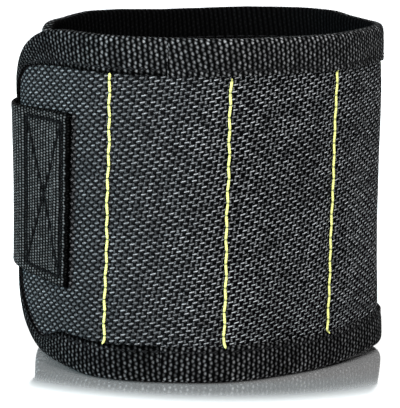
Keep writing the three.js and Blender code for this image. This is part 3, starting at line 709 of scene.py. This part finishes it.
def air_mesh(name):
    """Knitted spacer mesh: small staggered openings with rounded bars between them."""
    mat, nt, bsdf = tree(name)
    k = Net(nt)
    flat, s, z, side = k.flat()
    u, v = k.m("DIVIDE", s, 1.9), k.m("DIVIDE", z, 1.5)
    v2 = k.m("ADD", v, k.m("MULTIPLY", k.m("MODULO", k.m("FLOOR", u), 2.0), 0.5))
    fu = k.m("SUBTRACT", k.m("FRACT", u), 0.5)
    fv = k.m("SUBTRACT", k.m("FRACT", v2), 0.5)
    r = k.m("SQRT", k.m("ADD", k.m("MULTIPLY", fu, fu), k.m("MULTIPLY", k.m("MULTIPLY", fv, fv), 0.7)))
    bar = k.step(r, 0.20, 0.36)
    knit = k.m("ABSOLUTE", k.m("SINE", k.m("MULTIPLY", k.m("ADD", s, k.m("MULTIPLY", z, 0.35)), math.pi / 0.42)))
    height = k.m("MULTIPLY", bar, k.m("MULTIPLY_ADD", knit, 0.3, 0.7))
    fib = k.noise(flat, 6.0, 3.0)
    slow = k.noise(flat, 0.06, 2.0)
    val = k.m("MULTIPLY", k.m("MULTIPLY", height, k.m("MULTIPLY_ADD", fib, 0.7, 0.55)), k.m("MULTIPLY_ADD", slow, 0.6, 0.7), clamp=True)
    nt.links.new(k.mix(val, (0.0008, 0.0008, 0.0010, 1), (0.0075, 0.0075, 0.0088, 1)), bsdf.inputs["Base Color"])
    nt.links.new(k.bump(k.m("MULTIPLY_ADD", fib, 0.25, height), 0.00035, 0.9), bsdf.inputs["Normal"])
    nt.links.new(k.ramp(height, 0, 1, 0.98, 0.72), bsdf.inputs["Roughness"])
    bsdf.inputs["Specular IOR Level"].default_value = 0.05
    return mat


def pile(name):
    """Brushed loop pile."""
    mat, nt, bsdf = tree(name)
    k = Net(nt)
    flat, s, z, side = k.flat()
    big = k.noise(flat, 0.25, 3.0, 0.6)
    curl = k.noise(flat, 2.6, 4.0, 0.7)
    fine = k.noise(flat, 7.5, 3.0, 0.7)
    height = k.m("ADD", k.m("MULTIPLY", curl, 0.7), k.m("MULTIPLY", fine, 0.5))
    val = k.m("MULTIPLY", k.step(height, 0.42, 0.82), k.m("MULTIPLY_ADD", big, 0.9, 0.5), clamp=True)
    nt.links.new(k.mix(val, (0.002, 0.002, 0.0024, 1), (0.022, 0.0225, 0.025, 1)), bsdf.inputs["Base Color"])
    nt.links.new(k.bump(height, 0.0007, 1.0), bsdf.inputs["Normal"])
    nt.links.new(k.ramp(val, 0, 1, 1.0, 0.85), bsdf.inputs["Roughness"])
    bsdf.inputs["Sheen Weight"].default_value = 0.06
    bsdf.inputs["Specular IOR Level"].default_value = 0.08
    return mat


def nickel(name):
    mat, nt, bsdf = tree(name)
    k = Net(nt)
    co = nt.nodes.new("ShaderNodeTexCoord").outputs["Object"]
    cloud = k.noise(co, 260.0, 4.0, 0.6)
    fine = k.noise(co, 2600.0, 2.0)
    nt.links.new(k.mix(cloud, (0.46, 0.46, 0.47, 1), (0.62, 0.61, 0.59, 1)), bsdf.inputs["Base Color"])
    nt.links.new(k.ramp(cloud, 0.3, 0.7, 0.18, 0.34), bsdf.inputs["Roughness"])
    nt.links.new(k.bump(fine, 0.00002, 0.4), bsdf.inputs["Normal"])
    bsdf.inputs["Metallic"].default_value = 1.0
    return mat


# The shell's first stretch and its fade paint light on the end flap: dimmer crown highlights over a lighter ground, and
# a brighter tone towards the flap's end, as where the side lamp falls.
SHELL = woven(
    "shell_weave", (1.37, 0.92), (0.0004, 0.0004, 0.0005), (0.050, 0.0525, 0.0555), (0.30, 0.31, 0.322), 0.30,
    jitter=0.8, patch=0.14, spec=0.12, wobble=0.085, lean=0.19, tilt=-0.09, crowns=(0.67, 0.205), ground=0.035, skew=0.28,
    painted_light_start=(38.0, 76.0, 0.245, 0.03, 0.48), fade=(8.0, 34.0, 1.26, 1.0),
)


def tape(name, shade, fade=None, bias=0.0, ground=0.0005, hem_shade=None):
    # painted shade: inner and inner_tone dim the leg towards the wrist
    return ribbed(
        name, 1.43, 1.10, 1, (ground, ground, 1.06 * ground), tuple(shade * c for c in (0.094, 0.0955, 0.0975)), 0.26,
        jitter=0.85, patch=0.12, spec=0.04, wobble=0.07, inner=0.02, inner_tone=0.95, chain=0.15, size=(0.08, 1.0), lean=0.12, groove=(0.0, 0.40),
        tall=1.1, broad=1.15, crest_highlight=(FOLD[0], FOLD[1], 1.8), fade=fade, bias=bias, zigzag=0.17, hem_shade=hem_shade,
    )


TAPE = tape("binding_weave", 1.0, bias=-0.14, ground=0.002)
# the lower binding: the same tape, darker as painted shade
TAPE_LOW_SHADED = tape("binding_weave_low_shaded", 0.72, ground=0.0012)
TAPE_END = tape("binding_weave_end", 1.0, (2.0, 34.0, 1.0, 0.46), bias=-0.14, ground=0.002, hem_shade=(0.5, 1.2, 0.08))
# The strap's rear and its thin side faces, the cut end among them, are darkened as painted shade (inner, shade_at); its
# woven sides, cut end and box-and-cross lines get painted shade too.
WEBBING = ribbed(
    "strap_weave", 1.25, 0.76, 1, (0.0016, 0.0017, 0.0018), (0.0585, 0.0585, 0.0580), 0.24,
    jitter=0.85, patch=0.16, spec=0.10, wobble=0.07, groove=(0.02, 0.36), inner=0.08, shade_at=(0.0, 0.35), uneven=0.1,
    edges=(STRAP_Z[0], STRAP_Z[1], STRAP_SEWN), seam_shade=BOX,
)
YELLOW = thread("yellow_thread", (0.57, 0.59, 0.19), (0.30, 0.30, 0.065), rough=0.5, gloss=0.2, holes=True)
BLACK = thread("black_thread", (0.0026, 0.0026, 0.0030), (0.0006, 0.0006, 0.0007), rough=0.6, gloss=0.02)
GREY = thread("binding_thread", (0.006, 0.006, 0.0065), (0.0012, 0.0012, 0.0014), rough=0.6, gloss=0.03)
MESH = air_mesh("air_mesh")
LOOPS = pile("loop_pile")
NICKEL = nickel("nickel")

# ---------------------------------------------------------------- the pieces
CUTS = [(LINES[i] + LINES[i + 1]) / 2 for i in range(6)]  # middles of the panels
SPANS = list(zip([TIP_S, *CUTS], [*CUTS, END]))
PANELS = ["end_flap", "pocket_1", "pocket_2", "pocket_3", "pocket_4", "pocket_5", "loop_panel", "inner_flap"]
REACH = 11.4


def across(obj, k):
    """Bake a piece's placing into its mesh. The points either side of stitch line k are worked out but not used."""
    a = at(LINES[k] - REACH, 0, MID) * MM
    b = at(LINES[k] + REACH, 0, MID) * MM
    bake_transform(obj)


def z_marks(step, lo=1.2, hi=HEIGHT - 1.2):
    return np.linspace(lo, hi, int(round((hi - lo) / step)) + 1)


def fit_z(z, s):
    """Upright marks drawn in at the rounded ends."""
    low, high = 1.2 + corner_in(s, False), HEIGHT - 1.2 - corner_in(s, True)
    return low + (z - 1.2) / (HEIGHT - 2.4) * (high - low)


def sheet_piece(name, k, outer, thick, s_step, z_step, near, materials, flip=False, extra=()):
    lo, hi = SPANS[k]
    lo, hi = (HEM[HEM_TIP, 0] if k == 0 else lo), (hi - 1.2 if k == 6 else hi)
    ss = stations(lo, hi, s_step, near)
    if k in (0, 6):  # closer marks where the corner draws in
        arc = (INNER_CORNER[0] - 1.2) * (1 - np.cos(np.radians(np.arange(0, 91, 6.0))))
        arc = lo + arc if k == 0 else hi - arc
        ss = np.concatenate([arc, [m for m in ss if np.min(np.abs(arc - m)) > 0.45]])
        ss = np.array(sorted(set(np.round(ss, 4))))
    zz = z_marks(z_step)
    sg, zg = np.meshgrid(ss, zz, indexing="ij")
    zr = fit_z(zg, sg)
    n = outer(sg, zr)
    face = at(sg, n, zr)
    other = at(sg, n + thick, zr)
    flat = np.stack([sg, zr], -1)
    if thick < 0:  # the shown face looks to the wrist, so u runs the other way
        face, other, flat = face[::-1], other[::-1], flat[::-1]
    body = (*grid_solid(face, other, flat), 0)
    v, f, fl, m = joined([body, *extra])
    return new_object(name, v, f, fl, materials, m)


# shell cloth
for k in range(7):
    lo, hi = SPANS[k]
    near = [x for x in SEAM if lo < x < hi]
    obj = sheet_piece(f"shell_cloth_{k + 1}", k, shell_n, 0.75, 0.9, 0.95, near, [SHELL])
    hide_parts(f"{PANELS[k]}_shell", f"{PANELS[k + 1]}_shell")
    across(obj, k)

# lining, with the thread of the stitch lines on its face
for k in range(7):
    lo, hi = SPANS[k]
    near = [x for x in SEAM if lo < x < hi]
    rows = []
    for x in near:
        zc = np.arange(12.6, 78.0, 3.8)
        a = at(np.full(len(zc), x), lining_n(np.full(len(zc), x), zc - 1.55) + 0.1, zc - 1.55)
        b = at(np.full(len(zc), x), lining_n(np.full(len(zc), x), zc + 1.55) + 0.1, zc + 1.55)
        lift = at(x, 1.0, 0) - at(x, 0.0, 0)
        rows += [(v, f, fl, 1) for v, f, fl, _ in stitches(a, b, np.repeat(lift[None], len(zc), 0), 0.6, 0.45)]
    obj = sheet_piece(f"padded_lining_{k + 1}", k, lining_n, -0.8, 1.3, 1.4, near, [MESH, BLACK], extra=rows)
    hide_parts(f"{PANELS[k]}_lining", f"{PANELS[k + 1]}_lining")
    across(obj, k)

# yellow stitch lines: one thick thread that goes down at each needle hole
for k in range(6):
    x = SEAM[k]
    zc = np.arange(*((8.9, 80.0 if k == 1 else 80.6) if k < 3 else (9.9, 79.9)), 0.2)
    turn_ = (zc - 11.3) / 6.4 + 0.37 * k
    swing = np.abs(2 * (turn_ - np.floor(turn_)) - 1) * 2 - 1
    hole = np.abs(((zc - 11.3) / 3.2 + 0.74 * k) % 1.0 - 0.5) * 2  # 1 at a hole
    hole = np.clip((hole - 0.70) / 0.30, 0, 1) ** 1.5
    ss = x + 0.17 * swing + 0.10 * np.sin(zc * 0.23 + 1.3 * k)
    over_ = 0.75 * (1 - smooth((zc - 9.2) / 1.0) * smooth((80.8 - zc) / 1.0))  # up on the tape at both ends
    pts = at(ss, np.minimum(shell_n(ss, zc) - 0.20 + 0.24 * hole, 0) - over_, zc)
    lift = at(ss, -1.0, zc) - at(ss, 0.0, zc)
    v, f, fl, m = joined([cord(pts, lift, 0.74 * (1 - 0.30 * hole), 0.58 * (1 - 0.15 * hole), hole)])
    obj = new_object(f"yellow_stitches_{k + 1}", v, f, fl, [YELLOW])
    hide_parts(f"stitch_line_{k + 1}")
    across(obj, k)

# binding
def binding_parts(cs, cz, ces, cez, c, wide=None):
    """Tape swept along stations (s, z) with inward direction (es, ez); c is the length along. Returns joined parts with its sewing rows."""
    e = SECTION[None, :, 1]
    n = SECTION[None, :, 0]
    wave = 0.07 * np.sin(c * 0.83) + 0.05 * np.sin(c * 1.9 + 1.0)
    leg = np.clip((e - 2.0) / 8.5, 0, 1)
    wide = np.ones(len(c)) if wide is None else wide
    e2 = e + (wave[:, None] * 1.6) * leg**2  # the free edge isn't quite straight
    e2 = np.where(e > 1.3, 1.3 + (e2 - 1.3) * wide[:, None], e2)
    n2 = n + np.where(n < 0.9, -1, 1) * 0.06 * np.sin(c * 0.41 + 0.6)[:, None] * leg
    s = cs[:, None] + e2 * ces[:, None]
    z = cz[:, None] + e2 * cez[:, None]
    rings = at(s, n2, z)
    flat = np.stack(
        [
            np.broadcast_to(c[:, None], s.shape),
            np.broadcast_to(SECT_LEN[None], s.shape),
            np.broadcast_to(smooth((n - 0.9) / 1.3), s.shape),
        ],
        -1,
    )
    parts = [(*tube_grid(rings[:, ::-1], flat[:, ::-1]), 0)]
    # sewing rows on both legs, spaced along the row itself
    row = 1.3 + (ROW_E - 1.3) * wide
    rs, rz = cs + row * ces, cz + row * cez
    q = c[0] + np.concatenate([[0], np.cumsum(np.hypot(np.diff(rs), np.diff(rz)))])
    mids = np.arange(math.ceil((q[0] + 0.4) / ROW_STEP) * ROW_STEP, q[-1] - 0.4, ROW_STEP)
    lo, hi = np.clip(mids - 1.25, q[0] + 0.02, q[-1] - 0.02), np.clip(mids + 1.25, q[0] + 0.02, q[-1] - 0.02)
    keep = hi - lo > 1.0
    lo, hi, mids = lo[keep], hi[keep], mids[keep]
    for depth, sign in ((-0.80, -1.0), (2.66, 1.0)):
        a = at(np.interp(lo, q, rs), depth, np.interp(lo, q, rz))
        b = at(np.interp(hi, q, rs), depth, np.interp(hi, q, rz))
        sm, zm = np.interp(mids, q, rs), np.interp(mids, q, rz)
        lift = (at(sm, 1.0, zm) - at(sm, 0.0, zm)) * sign
        parts += [(v, f, fl, 1) for v, f, fl, _ in stitches(a, b, lift, 0.52, 0.42, around=6, rings=5, twist=1.6)]
    return parts


def edge_contour(end, line_s, corner):
    """Stations along the lower edge, round the inner flap's end and back along the upper edge, so that n, inward and along make a right-handed set."""
    a, b = corner

    def arc(edge, into):
        out = []
        for r in np.radians(np.linspace(0, 90, 37)[1:]):
            es, ez = -math.sin(r) / a, into * math.cos(r) / b
            q = math.hypot(es, ez)
            out.append((end - a * (1 - math.sin(r)), edge + into * b * (1 - math.cos(r)), es / q, ez / q))
        return out

    def straight(a, b):
        return np.linspace(a, b, int(abs(a - b) / 1.1) + 2)

    rows = [(s, 0.0, 0.0, 1.0) for s in straight(line_s, end - a)]
    rows += arc(0.0, 1.0)
    rows += [(end, z, -1.0, 0.0) for z in np.linspace(b, HEIGHT - b, 44)[1:-1]]
    rows += arc(HEIGHT, -1.0)[::-1]
    rows += [(s, HEIGHT, 0.0, -1.0) for s in straight(end - a, line_s)]
    return np.array(rows)


for k in range(7):
    lo, hi = SPANS[k]
    if k in (0, 6):
        rows = TONGUE if k == 0 else edge_contour(END, lo, INNER_CORNER)
        c = np.concatenate([[0], np.cumsum(np.hypot(np.diff(rows[:, 0]), np.diff(rows[:, 1])))])
        v, f, fl, m = joined(binding_parts(*rows.T[:4], c, rows[:, 4] if k == 0 else None))
        obj = new_object("end_flap_edge_binding" if k == 0 else "inner_flap_edge_binding", v, f, fl, [TAPE_END if k == 0 else TAPE, GREY], m)
        near = "pocket_1" if k == 0 else "loop_panel"
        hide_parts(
            "end_flap_binding" if k == 0 else "inner_flap_binding", f"{near}_binding_top", f"{near}_binding_bottom"
        )
        across(obj, k)
        continue
    ss = np.linspace(lo, hi, int((hi - lo) / 1.1) + 2)
    one, zero = np.ones(len(ss)), np.zeros(len(ss))
    for level in ("top", "bottom"):
        if level == "bottom":
            made = binding_parts(ss, zero, zero, one, ss)
        else:  # runs the other way, to keep the section right-handed
            made = binding_parts(ss[::-1], one * HEIGHT, zero, -one, END - ss[::-1])
        v, f, fl, m = joined(made)
        obj = new_object(f"edge_binding_{level}_{k + 1}", v, f, fl, [TAPE if level == "top" else TAPE_LOW_SHADED, GREY], m)
        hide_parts(f"{PANELS[k]}_binding_{level}", f"{PANELS[k + 1]}_binding_{level}")
        across(obj, k)

# ---------------------------------------------------------------- strap
BOX_LINES = [
    ((BOX[0], BOX[2]), (BOX[1], BOX[2])),
    ((BOX[1], BOX[2]), (BOX[1], BOX[3])),
    ((BOX[1], BOX[3]), (BOX[0], BOX[3])),
    ((BOX[0], BOX[3]), (BOX[0], BOX[2])),
    ((BOX[0], BOX[2]), (BOX[1], BOX[3])),
    ((BOX[0], BOX[3]), (BOX[1], BOX[2])),
]


def box_distance(s, z):
    best = np.full(np.shape(s), 99.0)
    for (s0, z0), (s1, z1) in BOX_LINES:
        ds, dz = s1 - s0, z1 - z0
        t = np.clip(((s - s0) * ds + (z - z0) * dz) / (ds * ds + dz * dz), 0, 1)
        best = np.minimum(best, np.hypot(s - s0 - t * ds, z - z0 - t * dz))
    return best


def strap_rise(s, z):
    """The strap's edges run a little askew: it's widest at the sewn end."""
    t = (z - STRAP_Z[0]) / (STRAP_Z[1] - STRAP_Z[0])
    low = 1.2 * smooth((30.0 - s) / 30.0) * smooth((s + 30.0) / 30.0)
    return z + t * (0.1 * smooth((s + 30.0) / 30.0) + 1.1 * smooth(s / 30.0)) + (1 - t) * low


def strap_in(s):
    """The strap's face towards the band: over the end binding, then down on the flap's cloth."""
    return -1.12 + 0.62 * smooth((s - 8.0) / 6.0)


def strap_thick(s):
    return 1.30 + 0.55 * smooth((s - 24.6) / 1.6)


def edge_round(d, r=0.65):
    x = np.clip(1 - d / r, 0, 1)
    return r * (1 - np.sqrt(np.maximum(1 - x * x, 0)))


def strap_body(lo, hi, round_lo=False, round_hi=False, step=0.75):
    edge = np.array([0, 0.06, 0.18, 0.36, 0.6])
    ss = np.linspace(lo, hi, int((hi - lo) / step) + 2)
    if round_lo:
        ss = np.concatenate([lo + edge, ss[ss > lo + 0.9]])
    if round_hi:
        ss = np.concatenate([ss[ss < hi - 0.9], (hi - edge)[::-1]])
    zz = np.linspace(STRAP_Z[0], STRAP_Z[1], 90)
    zz = np.concatenate([STRAP_Z[0] + edge, zz[(zz > STRAP_Z[0] + 0.9) & (zz < STRAP_Z[1] - 0.9)], (STRAP_Z[1] - edge)[::-1]])
    sg, zg = np.meshgrid(ss, zz, indexing="ij")
    d = np.minimum(zg - STRAP_Z[0], STRAP_Z[1] - zg)
    if round_lo:
        d = np.minimum(d, sg - lo)
    if round_hi:
        d = np.minimum(d, hi - sg)
    inner = strap_in(sg)
    groove = 0.28 * np.exp(-((box_distance(sg, zg) / 0.75) ** 2))
    sel = np.minimum(zg - STRAP_Z[0], STRAP_Z[1] - zg)
    ridge = 0.10 * np.exp(-(((sel - 1.2) / 0.8) ** 2))
    wave = 0.08 * ripple(sg * 1.3, zg * 1.1, 4.0)
    outer = inner - strap_thick(sg) + groove - ridge + wave + edge_round(d)
    inner = inner - edge_round(d) * 0.9
    zr = strap_rise(sg, zg)
    sr = sg
    if round_hi:  # the cut end is a little ragged
        sr = sg + 0.34 * (0.6 * np.sin(2.1 * zg + 1.1 * np.sin(0.83 * zg)) + 0.4 * np.sin(3.3 * zg + 2.0 * np.sin(0.31 * zg))) * smooth((sg - hi + 2.2) / 2.2)
    return grid_solid(at(sr, outer, zr), at(sr, inner, zr), np.stack([sg, zg], -1))


def strap_out(s, z):
    return (
        strap_in(s)
        - strap_thick(s)
        + 0.28 * np.exp(-((box_distance(s, z) / 0.75) ** 2))
        + 0.08 * ripple(s * 1.3, z * 1.1, 4.0)
    )


HALF = -13.0
v, f, fl = strap_body(HALF, STRAP_SEWN, round_hi=True)
sewn = new_object("strap_sewn_length", v, f, fl, [WEBBING])
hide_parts("strap_sewn_end", "strap_middle")
tuple(at(2.6, -3.0, MID) * MM)
tuple(at(-5.5, -3.0, MID) * MM)
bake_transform(sewn)
v, f, fl = strap_body(STRAP_END, HALF, round_lo=True)
tail = new_object("strap_free_length", v, f, fl, [WEBBING])
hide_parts("strap_middle", "strap_tail")
tuple(at(-21.0, -3.0, MID) * MM)
tuple(at(-33.0, -3.0, MID) * MM)
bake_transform(tail)

# box-and-cross sewing on the strap
parts = []
for (s0, z0), (s1, z1) in BOX_LINES:
    length = math.hypot(s1 - s0, z1 - z0)
    count = max(2, int(round(length / 2.9)))
    t0 = (np.arange(count) + 0.06) / count
    t1 = (np.arange(count) + 0.94) / count
    sa, za, sb, zb = s0 + (s1 - s0) * t0, z0 + (z1 - z0) * t0, s0 + (s1 - s0) * t1, z0 + (z1 - z0) * t1
    a = at(sa, strap_out(sa, za) - 0.12, strap_rise(sa, za))
    b = at(sb, strap_out(sb, zb) - 0.12, strap_rise(sb, zb))
    sm = (sa + sb) / 2
    lift = at(sm, -1.0, 0) - at(sm, 0.0, 0)
    parts += stitches(a, b, lift, 0.62, 0.48, around=8, rings=7)
v, f, fl, m = joined(parts)
box = new_object("box_cross_stitches", v, f, fl, [BLACK])
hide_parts("strap_box_stitch")
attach(box, "end_flap")

# ---------------------------------------------------------------- loop patches and hook tape
def patch_body(lo, hi, zlo, zhi, inner, outer, step=0.9, fuzz=0.12, seed=0.0):
    edge = np.array([0, 0.1, 0.3, 0.6])
    ss = np.linspace(lo, hi, int((hi - lo) / step) + 2)
    ss = np.concatenate([lo + edge, ss[(ss > lo + 1) & (ss < hi - 1)], (hi - edge)[::-1]])
    zz = np.linspace(zlo, zhi, int((zhi - zlo) / step) + 2)
    zz = np.concatenate([zlo + edge, zz[(zz > zlo + 1) & (zz < zhi - 1)], (zhi - edge)[::-1]])
    sg, zg = np.meshgrid(ss, zz, indexing="ij")
    d = np.minimum(np.minimum(sg - lo, hi - sg), np.minimum(zg - zlo, zhi - zg))
    rough = fuzz * (np.sin(sg * 5.3 + 2 * np.sin(zg * 2.1 + seed)) * np.sin(zg * 4.7 + 2 * np.sin(sg * 1.7)))
    sewn_ = 0.45 * np.exp(-(((d - 2.0) / 0.7) ** 2))
    top = outer + edge_round(d, 0.6) * 1.3 + sewn_ + rough * smooth(d / 0.8)
    return grid_solid(at(sg, top, zg), at(sg, np.full(sg.shape, inner), zg), np.stack([sg, zg], -1))


def sewn_frame(lo, hi, zlo, zhi, depth, inset=2.0):
    parts = []
    corners = [(lo + inset, zlo + inset), (hi - inset, zlo + inset), (hi - inset, zhi - inset), (lo + inset, zhi - inset)]
    for (s0, z0), (s1, z1) in zip(corners, corners[1:] + corners[:1]):
        length = math.hypot(s1 - s0, z1 - z0)
        count = int(round(length / 2.9))
        t0, t1 = (np.arange(count) + 0.08) / count, (np.arange(count) + 0.92) / count
        sa, za, sb, zb = s0 + (s1 - s0) * t0, z0 + (z1 - z0) * t0, s0 + (s1 - s0) * t1, z0 + (z1 - z0) * t1
        sm = (sa + sb) / 2
        parts += [
            (v, f, fl, 1)
            for v, f, fl, _ in stitches(
                at(sa, depth, za), at(sb, depth, zb), at(sm, -1.0, 0) - at(sm, 0.0, 0), 0.5, 0.4, around=6, rings=5
            )
        ]
    return parts


for name, node, lo, hi, body in (
    ("loop_patch_panel", "loop_patch", LINES[5] + 2.2, LINES[6] - 2.2, "loop_panel"),
    ("loop_patch_flap", "inner_flap_loop_patch", LINES[6] + 2.2, END - 18.0, "inner_flap"),
):
    b = patch_body(lo, hi, MID - 30, MID + 30, -0.1, -1.35, seed=lo)
    v, f, fl, m = joined([(*b, 0), *sewn_frame(lo, hi, MID - 30, MID + 30, -1.0)])
    obj = new_object(name, v, f, fl, [LOOPS, BLACK], m)
    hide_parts(node)
    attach(obj, body)

HOOKS = woven("hook_backing", (0.7, 0.7), (0.002, 0.002, 0.0022), (0.007, 0.007, 0.0075), (0.018, 0.018, 0.02), 0.15, jitter=0.2, spec=0.1)
lo, hi = STRAP_END + 2.0, -29.0
zlo, zhi = MID - 20.5, MID + 20.5
base = grid_solid(
    *(
        lambda sg, zg: (
            at(sg, np.full(sg.shape, -0.72), zg)[::-1],
            at(sg, np.full(sg.shape, -1.16), zg)[::-1],
            np.stack([sg, zg], -1)[::-1],
        )
    )(*np.meshgrid(np.linspace(lo, hi, 32), np.linspace(zlo, zhi, 40), indexing="ij"))
)
# rows of little moulded hooks on the backing
parts = [(*base, 0)]
hs, hz = np.meshgrid(np.arange(lo + 1.2, hi - 0.8, 1.55), np.arange(zlo + 1.2, zhi - 0.8, 1.3), indexing="ij")
hs = hs + 0.35 * (np.arange(hs.shape[1]) % 2)[None, :]
hs, hz = hs.ravel(), hz.ravel()
lift = at(hs, 1.0, 0) - at(hs, 0.0, 0)
parts += [
    (v, f, fl, 1)
    for v, f, fl, _ in stitches(at(hs, -0.70, hz), at(hs + 0.15, -0.38, hz + 0.45), lift, 0.22, 0.26, around=5, rings=4)
]
HOOKP = thread("hook_nylon", (0.022, 0.022, 0.024), (0.006, 0.006, 0.007), rough=0.35, gloss=0.3)
v, f, fl, m = joined(parts)
hook = new_object("hook_tape_face", v, f, fl, [HOOKS, HOOKP], m)
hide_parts("hook_tape")
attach(hook, "strap_tail")

# magnets, in their pockets
for k in range(5):
    for level, z in (("bottom", MID - 22.0), ("middle", MID), ("top", MID + 22.0)):
        v, f, fl = disc((LINES[k] + LINES[k + 1]) / 2, z, 9.0, 2.0, 1.2)
        obj = new_object(f"magnet_{k + 1}_{level}", v, f, fl, [NICKEL], sharp=30.0)
        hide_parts(f"pocket_{k + 1}_magnet_{level}")
        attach(obj, f"pocket_{k + 1}")

# ---------------------------------------------------------------- floor and light
def area(name, place, look, size, power, colour=(1, 1, 1)):
    data = bpy.data.lights.new(name, "AREA")
    data.shape = "RECTANGLE"
    data.size, data.size_y = size
    data.energy = power
    data.color = colour
    obj = bpy.data.objects.new(name, data)
    obj.location = place
    obj.rotation_euler = (Vector(look) - Vector(place)).to_track_quat("-Z", "Y").to_euler()
    scene.collection.objects.link(obj)
    return obj


fm, fnt, fb = tree("floor")
fn = Net(fnt)
pos = fnt.nodes.new("ShaderNodeSeparateXYZ")
fnt.links.new(fnt.nodes.new("ShaderNodeTexCoord").outputs["Object"], pos.inputs[0])
# polished round the band's foot and chalky beyond
fx, fy = fn.m("DIVIDE", pos.outputs[0], 1.3), pos.outputs[1]
rho = fn.m("SQRT", fn.m("ADD", fn.m("MULTIPLY", fx, fx), fn.m("MULTIPLY", fy, fy)))
polish = fn.m("SUBTRACT", 1.0, fn.step(rho, 0.046, 0.072))
grain = fn.noise(fnt.nodes["Texture Coordinate"].outputs["Object"], 900.0, 2.0)
fnt.links.new(fn.scale_colour((0.93, 0.93, 0.93, 1.0), fn.ramp(grain, 0, 1, 0.98, 1.02)), fb.inputs["Base Color"])
fnt.links.new(fn.m("MULTIPLY", polish, 0.86), fb.inputs["Metallic"])
fnt.links.new(fn.ramp(polish, 0, 1, 0.45, 0.06), fb.inputs["Roughness"])
fb.inputs["Specular IOR Level"].default_value = 0.0
bpy.ops.mesh.primitive_plane_add(size=30.0, location=(0, 0, -0.0004))
floor = bpy.context.object
floor.name = "floor"
floor.data.materials.append(fm)

# a studio that is bright overhead, with a white wall behind, and dim elsewhere
world = bpy.data.worlds.new("studio")
scene.world = world
world.use_nodes = True
wnt = world.node_tree
bg = wnt.nodes["Background"]
bg.inputs[0].default_value = (1, 1, 1, 1)
wk = Net(wnt)
sky = wnt.nodes.new("ShaderNodeSeparateXYZ")
wnt.links.new(wnt.nodes.new("ShaderNodeTexCoord").outputs["Generated"], sky.inputs[0])
cap = wk.m("MULTIPLY", wk.step(sky.outputs[2], 0.62, 0.95), 3.3)
wall = wk.m("MULTIPLY", wk.step(sky.outputs[1], 0.35, 0.75), wk.ramp(wk.step(sky.outputs[2], 0.30, 0.46), 0, 1, 1.1, 0.0))
wnt.links.new(wk.m("ADD", wk.m("ADD", cap, wall), 0.06), bg.inputs[1])

area("key", (-0.24, -1.14, 0.54), (0, 0, 0.045), (0.5, 0.4), 27.0)
area("side", (-1.1, -0.35, 0.35), (-0.03, 0, 0.045), (0.4, 0.6), 14.6, (0.43, 0.86, 1.0))

scene.view_settings.view_transform = "Standard"
scene.view_settings.look = "None"
